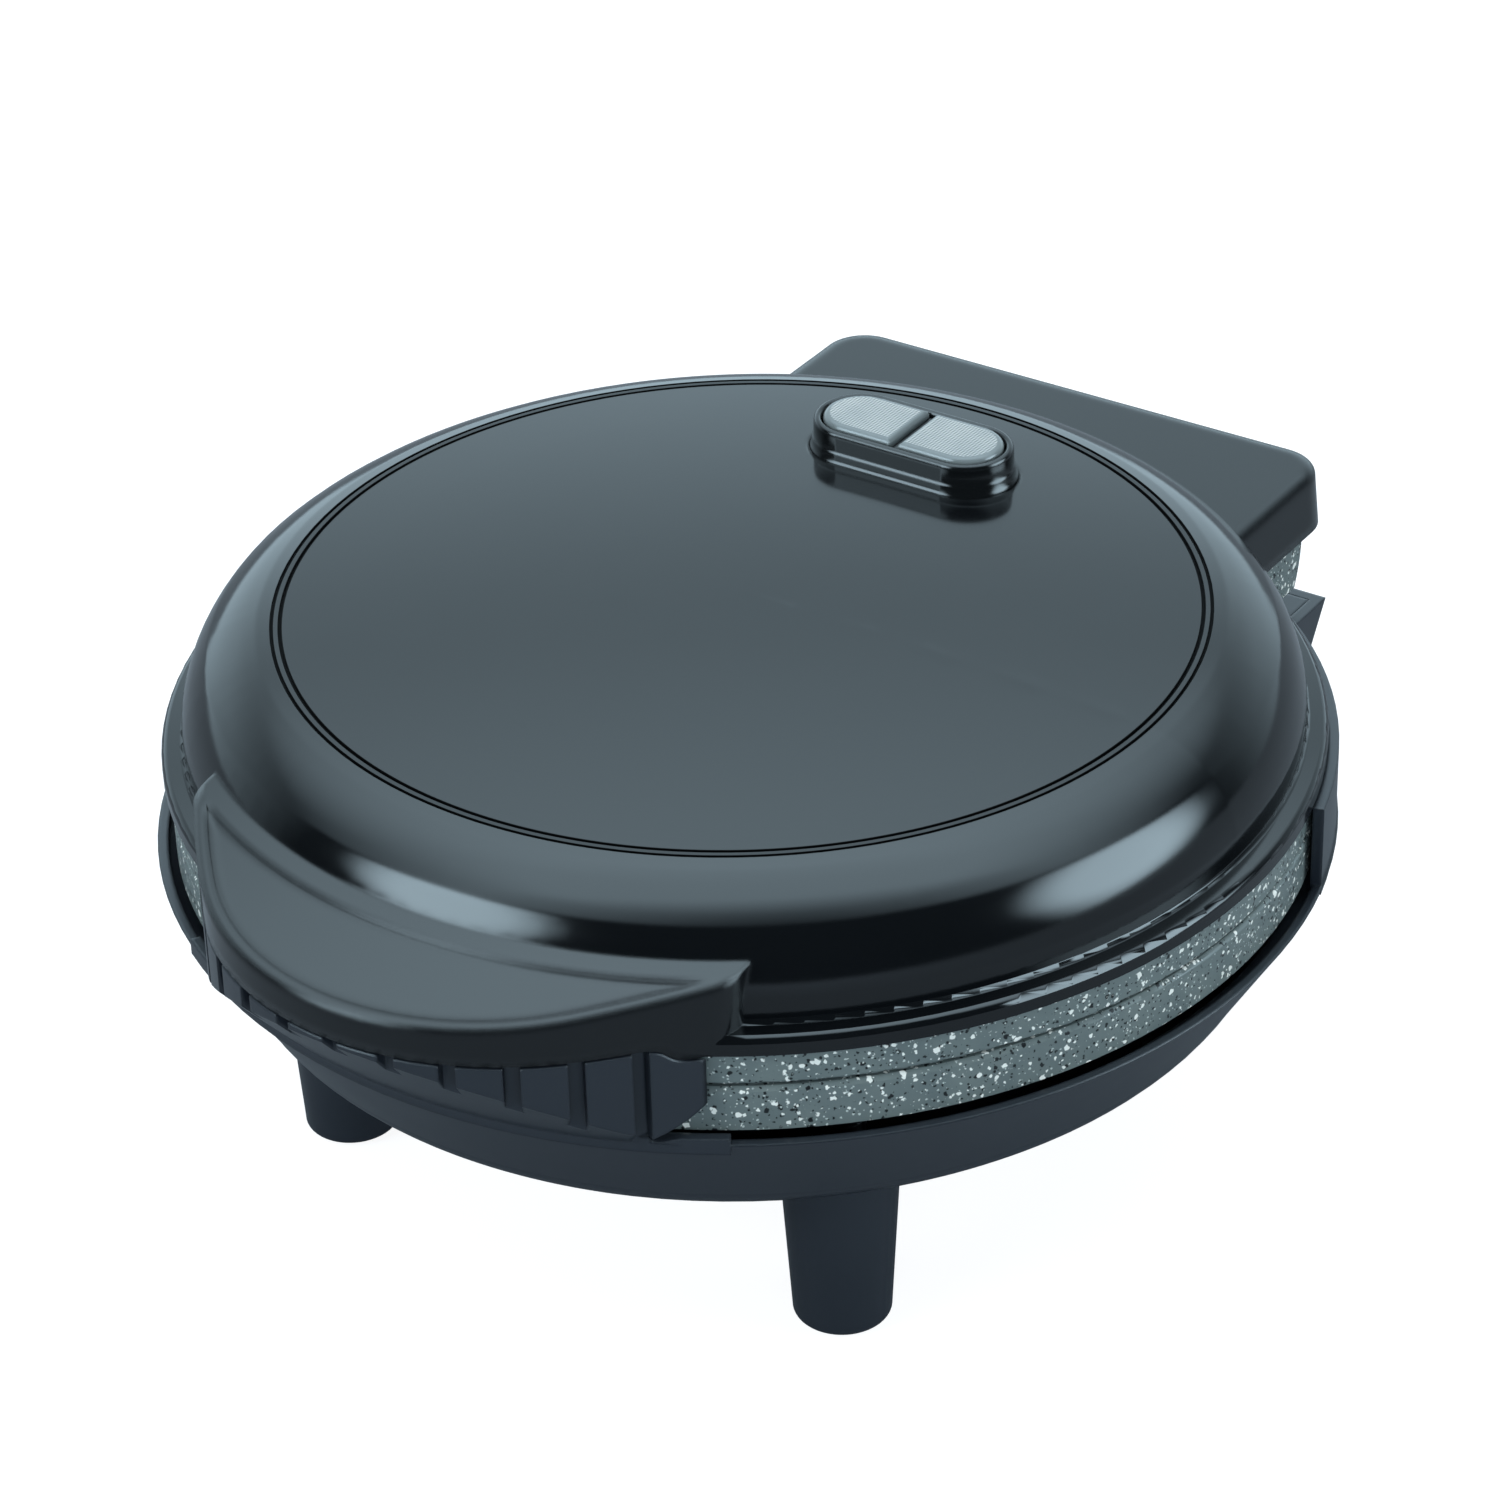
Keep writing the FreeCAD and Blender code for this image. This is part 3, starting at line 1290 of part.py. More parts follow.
def thermostat():
    """The disc thermostat held against the backs of the two lower wells."""
    top = lower_well_back
    can = disc("thermostat_can", s.thermostat_radius, (top - s.thermostat_height, top))
    tabs = []
    for side in SIDES:
        centre = side * s.thermostat_radius / 2
        tabs.append(
            box(
                "thermostat_tab",
                (-s.screw_radius, s.screw_radius),
                (centre - s.sheet / 2, centre + s.sheet / 2),
                (top - s.thermostat_height - s.sheet * 2, top - s.thermostat_height),
            )
        )
    sub_part(fuse("thermostat", can, *tabs), "thermostat")
    low = top - s.thermostat_height
    reach = thermostat_screw_y + s.ear_width / 2
    strip = box(
        "bracket_strip",
        (-s.ear_width / 2, s.ear_width / 2),
        (-reach, reach),
        (low - s.sheet, low),
    )
    ring = disc("bracket_ring", s.thermostat_radius + s.sheet, (low - s.sheet, low))
    bore = disc("bracket_bore", s.thermostat_radius - s.slip_gap * 10, (low - s.sheet, low))
    holes = []
    screws = []
    for side in SIDES:
        y = side * thermostat_screw_y
        bore_radius = s.small_screw_radius + s.slip_gap
        holes.append(disc("bracket_hole", bore_radius, (low - s.sheet, low), 0, y))
        screws.append(small_screw("bracket_screw", 0, y, low - s.sheet, low + s.small_screw_reach))
    sub_part(cut("thermostat_bracket", fuse("bracket", strip, ring), bore, *holes), "thermostat_bracket")
    sub_part(group("bracket_screw_group", screws), "thermostat_screws")


def upper_handle():
    """The lid's half of the handle: a hollow ledge whose dished top falls toward the front."""
    seam = lid_bottom + s.top_seam
    inner = dome_radius - s.wall
    seam_top = seam + s.wall * s.top_slope
    front_z = seam - (handle_reach - dome_radius) * s.top_slope
    low = upper_parting - s.parting_drop
    outline = (
        (0, low),
        (handle_reach, low),
        (handle_reach, front_z),
        (inner, seam_top),
        (0, seam_top),
    )
    height = seam_top - low
    blank = extruded("upper_handle_blank", handle_outline(as_size(0), s.handle_back), low, height)
    body = common("upper_handle_body", blank, revolved("upper_handle_top", outline))
    body = cut("upper_handle_waved", body, under_parting("upper_wave", upper_parting))
    under = revolved(
        "upper_handle_under",
        (
            (dome_radius + s.wall, low),
            (handle_reach, low),
            (handle_reach, front_z - s.wall - s.dish_depth),
            (
                dome_radius + s.wall,
                seam - s.wall * s.top_slope - s.wall - s.dish_depth,
            ),
        ),
    )
    room = extruded("upper_handle_room", handle_outline(s.handle_wall, s.handle_back), low, height + s.wall)
    hollow = common("upper_handle_hollow", room, under)
    ribs = [
        box(
            "upper_handle_rib",
            (side * s.rib_offset - s.rib_width / 2, side * s.rib_offset + s.rib_width / 2),
            (-handle_reach, -s.handle_back),
            (upper_parting + s.handle_wall, seam),
        )
        for side in SIDES
    ]
    hollow = cut("upper_handle_ribbed", hollow, *ribs)
    dish_in = dome_radius + s.dish_rim
    dish = revolved(
        "dish_cone",
        (
            (dish_in, seam - s.dish_rim * s.top_slope - s.dish_depth),
            (handle_reach, front_z - s.dish_depth),
            (handle_reach, seam + s.wall),
            (dish_in, seam + s.wall),
        ),
    )
    dish_plan = extruded("dish_plan", handle_outline(s.dish_rim, s.handle_back), low, height + s.wall)
    return cut("upper_handle", body, hollow, common("dish", dish, dish_plan))


def upper_box_plan(inset):
    """Plan of the upper hinge box, round at its rear corners and running into the dome."""
    side = s.box_half_width - inset
    rear = upper_box_rear - inset
    corner = s.upper_box_corner - inset
    front = s.box_half_width
    middle = corner * (1 - cosine(45))
    return (
        (-side, front),
        (side, front),
        (side, rear - corner),
        Via(side - middle, rear - middle),
        (side - corner, rear),
        (corner - side, rear),
        Via(middle - side, rear - middle),
        (-side, rear - corner),
    )


def upper_hinge_box():
    """The lid's hinge box before it is hollowed, with its rounded top edge."""
    draft = -s.upper_box_draft
    block = extruded("upper_box", upper_box_plan(as_size(0)), lid_bottom, s.upper_box_height, draft)
    return rounded("upper_box_rounded", block, s.upper_box_round, level_at(upper_box_top))


def lid_cover():
    """The domed lid with its hinge box, its half of the handle and the posts for the plate."""
    outer = revolved("dome_outer", dome_outline())
    hollow = revolved("dome_hollow", dome_hollow_outline())
    room = extruded(
        "upper_box_room", upper_box_plan(s.wall), lid_bottom - s.wall, s.upper_box_height, -s.upper_box_draft
    )
    dome = cut("lid_shell", fuse("lid_outer", outer, upper_hinge_box()), hollow, room)
    handle = cut("handle_outside", upper_handle(), hollow)
    posts = []
    holes = []
    for angle in DIAGONALS:
        x, y = round_the_ring(lid_fixing_radius, angle)
        top = lid_bottom + s.post_depth
        posts.append(disc("lid_post", s.boss_radius, (lid_bottom, top), x, y))
        bore_top = lid_bottom + s.lid_screw_reach
        holes.append(disc("lid_post_bore", s.screw_radius, (lid_bottom, bore_top), x, y))
    solid_dome = revolved("dome_limit", dome_outline())
    post_group = common("lid_posts", fuse("lid_post_group", *posts), solid_dome)
    whole = fuse("lid_whole", dome, handle, post_group)
    length = s.indicator_half_length
    seat_plan = stadium(length, s.lens_radius + s.bezel_wall + s.slip_gap, s.indicator_y)
    seat = extruded("bezel_recess", seat_plan, bezel_seat_z, s.crown + s.wall)
    hole_plan = stadium(length, s.lens_radius + s.slip_gap, s.indicator_y)
    hole = extruded("lens_hole", hole_plan, bezel_seat_z - s.wall * 2, s.crown + s.wall * 3)
    slots = []
    low = s.knuckle_outer_x - s.knuckle_width - s.running_gap * 2
    high = s.knuckle_outer_x + s.running_gap * 2
    for pair in ((low, high), (-high, -low)):
        rear = (hinge_y, upper_box_rear)
        slots.append(box("lug_slot", pair, rear, (lid_bottom, hinge_z + s.slot_rise)))
    sub_part(cut("lid_cover", whole, seat, hole, *holes, *slots), "lid_cover")


def indicator():
    """The bezel on the lid, its two lenses and the lamp holder with its lamps below."""
    length = s.indicator_half_length
    outer = s.lens_radius + s.bezel_wall
    y = s.indicator_y
    bezel = extruded("bezel_outer", stadium(length, outer, y), bezel_seat_z, s.bezel_rise)
    bezel = rounded("bezel_round", bezel, s.foot_round, level_at(bezel_seat_z + s.bezel_rise))
    opening = extruded("bezel_inner", stadium(length, s.lens_radius + s.slip_gap, y), bezel_seat_z, s.lens_rise)
    bar = box(
        "bezel_bar",
        (-s.lens_split / 2, s.lens_split / 2),
        (y - s.lens_radius - s.slip_gap, y + s.lens_radius + s.slip_gap),
        (bezel_seat_z, bezel_seat_z + s.bezel_rise),
    )
    sub_part(fuse("bezel", cut("bezel_ring", bezel, opening), bar), "indicator_bezel")
    for side, label in zip(SIDES, ("power_lens", "ready_lens")):
        lens = extruded(label + "_stadium", stadium(length, s.lens_radius, y), lens_bottom, s.lens_rise + s.lens_depth)
        near = s.lens_split / 2 + s.slip_gap
        far = length + outer
        pair = (near, far) if side > 0 else (-far, -near)
        half = box(label + "_half", pair, (y - outer, y + outer), (lens_bottom, bezel_seat_z + s.lens_rise))
        piece = common(label + "_shape", lens, half)
        top = bezel_seat_z + s.lens_rise
        sub_part(rounded(label, piece, s.foot_round, level_at(top)), label)


def lamp_holder():
    """The holder under the lid with one chamber for each lamp."""
    y = s.indicator_y
    length = s.indicator_half_length
    top = lens_bottom
    bottom = top - s.holder_depth
    outer = extruded("holder_outer", stadium(length, s.lens_radius, y), bottom, s.holder_depth)
    chambers = []
    for side in SIDES:
        x = side * (length - s.lamp_radius)
        room = s.lens_radius - s.holder_wall
        chambers.append(disc("lamp_chamber", room, (bottom + s.holder_wall, top), x, y))
    sub_part(cut("holder", outer, *chambers), "lamp_holder")
    for side, label in zip(SIDES, ("power_lamp", "ready_lamp")):
        x = side * (length - s.lamp_radius)
        low = bottom + s.holder_wall
        stem_top = low + s.lamp_height - s.lamp_radius
        stem = disc(label + "_stem", s.lamp_radius, (low, stem_top), x, y)
        tip = add("Part::Sphere", label + "_tip")
        bind(tip, Radius=s.lamp_radius)
        place(tip, x, y, stem_top)
        sub_part(fuse(label, stem, tip), label)


def thermal_fuse():
    """The thermal fuse lying on the back of an upper well, under a strap with two screws."""
    radius = s.pin_boss_radius
    floor = upper_well_back
    half = s.fuse_length / 2
    axis_y = -s.fuse_y
    can = rod("fuse_body", radius, (s.fuse_x - half, s.fuse_x + half), axis_y, floor + radius)
    sub_part(group("fuse_group", [can]), "thermal_fuse")
    reach = fuse_screw_y + s.ear_width / 2
    outer = radius + s.sheet
    top = floor + radius * 2 + s.sheet
    limits = (s.fuse_x - s.strap_width / 2, s.strap_width)
    strap = across(
        "strap",
        (
            (axis_y - reach, floor),
            (axis_y - radius, floor),
            (axis_y - radius, floor + radius),
            Via(axis_y, floor + radius * 2),
            (axis_y + radius, floor + radius),
            (axis_y + radius, floor),
            (axis_y + reach, floor),
            (axis_y + reach, floor + s.sheet),
            (axis_y + outer, floor + s.sheet),
            (axis_y + outer, floor + radius),
            Via(axis_y, top),
            (axis_y - outer, floor + radius),
            (axis_y - outer, floor + s.sheet),
            (axis_y - reach, floor + s.sheet),
        ),
        *limits,
    )
    holes = []
    screws = []
    for side in SIDES:
        y = side * fuse_screw_y + axis_y
        seat = floor + s.sheet
        bore_radius = s.small_screw_radius + s.slip_gap
        holes.append(disc("strap_hole", bore_radius, (floor, seat), s.fuse_x, y))
        screws.append(small_screw("strap_screw", s.fuse_x, y, seat, seat - s.small_screw_reach))
    sub_part(cut("fuse_strap", strap, *holes), "fuse_strap")
    sub_part(group("strap_screw_group", screws), "fuse_strap_screws")


def check_and_write():
    """Stop on any failed object or empty shape, then write one file for each sub-part."""
    document.recompute()
    for item in document.Objects:
        bad = [word for word in item.State if word in ("Invalid", "Error")]
        if bad:
            raise RuntimeError("%s is %s" % (item.Name, bad))
    for item in SUB_PARTS:
        shape = item.Shape
        if shape.isNull() or not shape.isValid() or not shape.Solids:
            raise RuntimeError("%s has no valid solid" % item.Label)
    os.makedirs("parts", exist_ok=True)
    for item in SUB_PARTS:
        item.Shape.exportStep("parts/%s.step" % item.Label)
        print("%-24s %d solids" % (item.Label, len(item.Shape.Solids)))


feet()
base_housing()
hinge_box_cover()
lower_plate()
upper_plate()
heater("lower_heater", lower_heater_z)
heater("upper_heater", upper_heater_z)
reflector("lower_reflector", lower_boss_end, -1)
reflector("upper_reflector", upper_boss_end, 1)
plate_screws()
hinge_pins()
terminal_block()
cord_gland()
thermostat()
lid_cover()
indicator()
lamp_holder()
thermal_fuse()
check_and_write()
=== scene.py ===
import json
import math

import bmesh
import bpy
from mathutils import Matrix, Vector


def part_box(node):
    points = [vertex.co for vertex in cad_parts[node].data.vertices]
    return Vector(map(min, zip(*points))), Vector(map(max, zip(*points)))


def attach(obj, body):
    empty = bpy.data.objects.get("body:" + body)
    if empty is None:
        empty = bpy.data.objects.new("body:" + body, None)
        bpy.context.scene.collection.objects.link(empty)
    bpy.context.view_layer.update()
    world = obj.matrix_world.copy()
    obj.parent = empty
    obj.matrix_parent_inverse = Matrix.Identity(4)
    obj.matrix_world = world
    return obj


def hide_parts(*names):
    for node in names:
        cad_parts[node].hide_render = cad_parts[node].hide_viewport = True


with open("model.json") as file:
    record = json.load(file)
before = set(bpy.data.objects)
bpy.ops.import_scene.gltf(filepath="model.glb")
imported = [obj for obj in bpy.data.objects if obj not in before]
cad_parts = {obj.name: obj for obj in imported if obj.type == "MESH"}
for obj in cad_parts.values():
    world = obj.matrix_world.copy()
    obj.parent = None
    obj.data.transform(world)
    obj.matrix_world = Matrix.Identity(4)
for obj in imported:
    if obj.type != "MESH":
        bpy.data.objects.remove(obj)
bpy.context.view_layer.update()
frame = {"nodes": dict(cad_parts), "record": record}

# A closed omelette maker on a white floor, seen from its front right.
# Lengths are in metres; MM turns a size in millimetres into one.
MM = 0.001
VIEW_AZIMUTH = 34.3


def srgb(red, green, blue):
    """A colour written as 8-bit sRGB, as the linear colour that shaders take."""

    def linear(level):
        level = level / 255
        return level / 12.92 if level <= 0.04045 else ((level + 0.055) / 1.055) ** 2.4

    return (linear(red), linear(green), linear(blue), 1.0)


# Places taken from the frame
lid_low, lid_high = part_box("lid_cover")
base_low, base_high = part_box("base_housing")
plate_low, plate_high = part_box("lower_plate")
upper_low, upper_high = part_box("upper_plate")
plate_radius = plate_high.x
axis_y = plate_low.y + plate_radius
lid_bottom = lid_low.z
lens_low, lens_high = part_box("power_lens")
lens_low_pair, lens_high_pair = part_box("ready_lens")
lens_middle = (lens_low.y + lens_high.y) / 2
LID_EDGE = 1.3 * MM
BEND_STEPS = 24


# Camera


def aim_camera():
    """The camera of the photograph: a long lens, from the front right and above."""
    azimuth = math.radians(VIEW_AZIMUTH)
    elevation = math.radians(31.939)
    roll = math.radians(-1.7086)
    distance = 971.12 * MM
    target = Vector((0, axis_y, 49.42 * MM))
    side_shift = 0.809 * MM
    rise = 20.125 * MM
    back = Vector(
        (
            math.sin(azimuth) * math.cos(elevation),
            -math.cos(azimuth) * math.cos(elevation),
            math.sin(elevation),
        )
    )
    right = Vector((math.cos(azimuth), math.sin(azimuth), 0))
    up = back.cross(right)
    place = target + back * distance + right * side_shift + up * rise
    rolled_right = right * math.cos(roll) + up * math.sin(roll)
    rolled_up = up * math.cos(roll) - right * math.sin(roll)
    data = bpy.data.cameras.new("camera")
    data.sensor_width = 36
    data.lens = 120.96
    data.clip_start = 0.01
    data.clip_end = 50
    camera = bpy.data.objects.new("camera", data)
    bpy.context.scene.collection.objects.link(camera)
    turn = Matrix((rolled_right, rolled_up, back)).transposed().to_4x4()
    camera.matrix_world = Matrix.Translation(place) @ turn
    bpy.context.scene.camera = camera


# Node helpers


class Nodes:
    """A material's or world's node tree, with short ways to add and join nodes."""

    def __init__(self, owner):
        owner.use_nodes = True
        self.tree = owner.node_tree
        self.tree.nodes.clear()

    def add(self, kind, **values):
        node = self.tree.nodes.new(kind)
        for name, value in values.items():
            setattr(node, name, value)
        return node

    def join(self, source, target):
        self.tree.links.new(source, target)

    def set(self, node, **sockets):
        for name, value in sockets.items():
            socket = node.inputs[name.replace("_", " ")]
            if isinstance(value, bpy.types.NodeSocket):
                self.join(value, socket)
            else:
                socket.default_value = value
        return node

    def math(self, operation, first, second=0.0, clamp=False):
        node = self.add("ShaderNodeMath", operation=operation, use_clamp=clamp)
        for socket, value in zip(node.inputs, (first, second)):
            if isinstance(value, bpy.types.NodeSocket):
                self.join(value, socket)
            else:
                socket.default_value = value
        return node.outputs[0]

    def mix(self, factor, first, second):
        node = self.add("ShaderNodeMix", data_type="RGBA")
        for socket, value in zip((node.inputs[0], node.inputs[6], node.inputs[7]), (factor, first, second)):
            if isinstance(value, bpy.types.NodeSocket):
                self.join(value, socket)
            else:
                socket.default_value = value
        return node.outputs[2]

    def ramp(self, factor, low, high, interpolation="LINEAR"):
        """0 below low, 1 above high."""
        node = self.add("ShaderNodeMapRange", interpolation_type=interpolation)
        self.join(factor, node.inputs["Value"])
        node.inputs["From Min"].default_value = low
        node.inputs["From Max"].default_value = high
        return node.outputs["Result"]

    def position(self):
        return self.add("ShaderNodeTexCoord").outputs["Object"]

    def noise(self, scale, detail=2.0, roughness=0.5, vector=None):
        node = self.add("ShaderNodeTexNoise")
        self.join(vector or self.position(), node.inputs["Vector"])
        self.set(node, Scale=scale, Detail=detail, Roughness=roughness)
        return node.outputs["Fac"]

    def bump(self, height, strength, distance, edge=0.0):
        """Relief from a height, over edges that look rounded by a radius."""
        node = self.add("ShaderNodeBump")
        self.set(node, Strength=strength, Distance=distance, Height=height)
        if edge:
            soft = self.add("ShaderNodeBevel", samples=6)
            self.set(soft, Radius=edge)
            self.join(soft.outputs[0], node.inputs["Normal"])
        return node.outputs["Normal"]

    def place(self):
        """Distance from the cooker's middle axis, and height, of a point of the object."""
        parts = self.add("ShaderNodeSeparateXYZ")
        self.join(self.position(), parts.inputs[0])
        across = self.math("POWER", parts.outputs["X"], 2.0)
        along = self.math("POWER", self.math("SUBTRACT", parts.outputs["Y"], axis_y), 2.0)
        return self.math("SQRT", self.math("ADD", across, along)), parts.outputs["Z"]

    def band(self, value, low, high, fade):
        """1 between two levels, with soft ends."""
        rise = self.ramp(value, low - fade, low + fade)
        fall = self.ramp(value, high + fade, high - fade)
        return self.math("MULTIPLY", rise, fall)


def moulded_plastic(name, colour, roughness, coat=0.0, coat_roughness=0.03, edge=0.0):
    """Moulded plastic with faint uneven gloss and fine grain."""
    material = bpy.data.materials.new(name)
    nodes = Nodes(material)
    shader = nodes.add("ShaderNodeBsdfPrincipled")
    cloud = nodes.noise(60.0, detail=3.0)
    grain = nodes.noise(900.0, detail=2.0)
    darker = tuple(channel * 0.86 for channel in colour[:3]) + (1.0,)
    tint = nodes.mix(cloud, darker, colour)
    uneven = nodes.math("MULTIPLY_ADD", cloud, roughness * 0.25)
    uneven.node.inputs[2].default_value = roughness * 0.88
    nodes.set(shader, Base_Color=tint, Roughness=uneven, IOR=1.5)
    nodes.set(shader, Coat_Weight=coat, Coat_Roughness=coat_roughness)
    relief = nodes.bump(grain, 0.02, 0.00005, edge)
    nodes.set(shader, Normal=relief)
    output = nodes.add("ShaderNodeOutputMaterial")
    nodes.join(shader.outputs[0], output.inputs["Surface"])
    return material


def lid_plastic(name, colour, roughness):
    """Glossy plastic whose edges are broad on the handle, fine at the flange and sharp at each groove ring on
    top, with painted shade in the two groove rings: coloured near black, made rougher and given a dim
    specular tint.
    """
    material = moulded_plastic(name, colour, roughness, edge=LID_EDGE)
    nodes = Nodes.__new__(Nodes)
    nodes.tree = material.node_tree
    shader = next(node for node in nodes.tree.nodes if node.type == "BSDF_PRINCIPLED")
    bevel = next(node for node in nodes.tree.nodes if node.type == "BEVEL")
    radius, height = nodes.place()
    on_top = nodes.ramp(height, lid_bottom + 22 * MM, lid_bottom + 22.5 * MM)
    near_grooves = nodes.math("MULTIPLY", nodes.band(radius, 84.9 * MM, 88.9 * MM, 0.3 * MM), on_top)
    on_flange = nodes.ramp(height, lid_bottom + 9 * MM, lid_bottom + 7 * MM)
    beyond_dome = nodes.ramp(radius, 106.2 * MM, 107.4 * MM)
    above_flange = nodes.ramp(height, lid_bottom + 6 * MM, lid_bottom + 7 * MM)
    on_handle = nodes.math("MULTIPLY", beyond_dome, above_flange)
    on_handle = nodes.math("MAXIMUM", on_handle, nodes.ramp(radius, 110.2 * MM, 111.5 * MM))
    edge = nodes.math("MULTIPLY_ADD", near_grooves, -1.15 * MM)
    edge.node.inputs[2].default_value = LID_EDGE
    low_edge = nodes.math("MULTIPLY", on_flange, nodes.math("SUBTRACT", 1.0, on_handle))
    edge = nodes.math("SUBTRACT", edge, nodes.math("MULTIPLY", low_edge, 1.25 * MM))
    edge = nodes.math("ADD", edge, nodes.math("MULTIPLY", on_handle, 1.9 * MM))
    nodes.join(edge, bevel.inputs["Radius"])
    # Painted shade: the two groove rings on the lid's top are coloured near black, made rougher and given a
    # dim specular tint, standing in for the shade inside them.
    outer_groove_shade = nodes.band(radius, 87.25 * MM, 88.0 * MM, 0.08 * MM)
    inner_groove_shade = nodes.band(radius, 85.6 * MM, 86.5 * MM, 0.08 * MM)
    painted_groove_shade = nodes.math("MULTIPLY", nodes.math("ADD", outer_groove_shade, inner_groove_shade), on_top)
    tint = shader.inputs["Base Color"].links[0].from_socket
    # Painted shade: near-black colour, extra roughness and dimmed specular inside the groove rings.
    nodes.join(nodes.mix(painted_groove_shade, tint, (0.001, 0.0012, 0.0014, 1.0)), shader.inputs["Base Color"])
    gloss = shader.inputs["Roughness"].links[0].from_socket
    nodes.join(nodes.math("ADD", gloss, nodes.math("MULTIPLY", painted_groove_shade, 0.7)), shader.inputs["Roughness"])
    nodes.join(nodes.mix(painted_groove_shade, (1, 1, 1, 1), (0.1, 0.1, 0.1, 1)), shader.inputs["Specular Tint"])
    return material


def metal(name, colour, roughness, scale=400.0):
    """Bare metal with fine brushing and slight tarnish."""
    material = bpy.data.materials.new(name)
    nodes = Nodes(material)
    shader = nodes.add("ShaderNodeBsdfPrincipled")
    cloud = nodes.noise(scale * 0.2, detail=4.0)
    darker = tuple(channel * 0.75 for channel in colour[:3]) + (1.0,)
    tint = nodes.mix(cloud, darker, colour)
    uneven = nodes.math("MULTIPLY_ADD", cloud, 0.2)
    uneven.node.inputs[2].default_value = roughness
    nodes.set(shader, Base_Color=tint, Metallic=1.0, Roughness=uneven)
    nodes.set(shader, Normal=nodes.bump(nodes.noise(scale), 0.1, 0.0001))
    output = nodes.add("ShaderNodeOutputMaterial")
    nodes.join(shader.outputs[0], output.inputs["Surface"])
    return material


def specks(nodes, scale, share, softness, seed):
    """A mask of scattered round specks: the cells of a random pattern whose lot is drawn."""
    shifted = nodes.add("ShaderNodeVectorMath", operation="ADD")
    nodes.join(nodes.position(), shifted.inputs[0])
    shifted.inputs[1].default_value = (seed, seed * 1.7, seed * 0.6)
    wobble = nodes.add("ShaderNodeTexNoise")
    nodes.join(shifted.outputs[0], wobble.inputs["Vector"])
    nodes.set(wobble, Scale=scale * 2.2, Detail=1.0)
    spread = nodes.add("ShaderNodeVectorMath", operation="SCALE")
    nodes.join(wobble.outputs["Color"], spread.inputs[0])
    spread.inputs["Scale"].default_value = 0.55 / scale
    moved = nodes.add("ShaderNodeVectorMath", operation="ADD")
    nodes.join(shifted.outputs[0], moved.inputs[0])
    nodes.join(spread.outputs[0], moved.inputs[1])
    cell = nodes.add("ShaderNodeTexVoronoi", feature="F1")
    nodes.join(moved.outputs[0], cell.inputs["Vector"])
    nodes.set(cell, Scale=scale, Randomness=1.0)
    lot = nodes.add("ShaderNodeSeparateColor")
    nodes.join(cell.outputs["Color"], lot.inputs[0])
    drawn = nodes.math("LESS_THAN", lot.outputs[0], share)
    size = nodes.math("MULTIPLY_ADD", lot.outputs[1], 0.26)
    size.node.inputs[2].default_value = 0.1
    edge = nodes.math("SUBTRACT", size, cell.outputs["Distance"])
    round_mask = nodes.ramp(edge, 0.0, softness)
    return nodes.math("MULTIPLY", drawn, round_mask)


def speckled_coating(name):
    """Grey non-stick coating with black and white specks of mixed sizes."""
    material = bpy.data.materials.new(name)
    nodes = Nodes(material)
    shader = nodes.add("ShaderNodeBsdfPrincipled")
    cloud = nodes.noise(150.0, detail=4.0)
    base = nodes.mix(cloud, srgb(88, 102, 105), srgb(112, 125, 124))
    white = srgb(232, 238, 234)
    black = srgb(16, 21, 24)
    colour = nodes.mix(specks(nodes, 1000.0, 0.85, 0.1, 3.1), base, black)
    colour = nodes.mix(specks(nodes, 640.0, 0.85, 0.08, 1.3), colour, black)
    colour = nodes.mix(specks(nodes, 1250.0, 0.6, 0.12, 7.7), colour, srgb(186, 198, 196))
    colour = nodes.mix(specks(nodes, 720.0, 0.75, 0.08, 5.2), colour, white)
    colour = nodes.mix(specks(nodes, 470.0, 0.42, 0.06, 9.4), colour, white)
    nodes.set(shader, Base_Color=colour, Roughness=0.42, IOR=1.45)
    nodes.set(shader, Normal=nodes.bump(nodes.noise(1400.0), 0.12, 0.0001))
    output = nodes.add("ShaderNodeOutputMaterial")
    nodes.join(shader.outputs[0], output.inputs["Surface"])
    return material


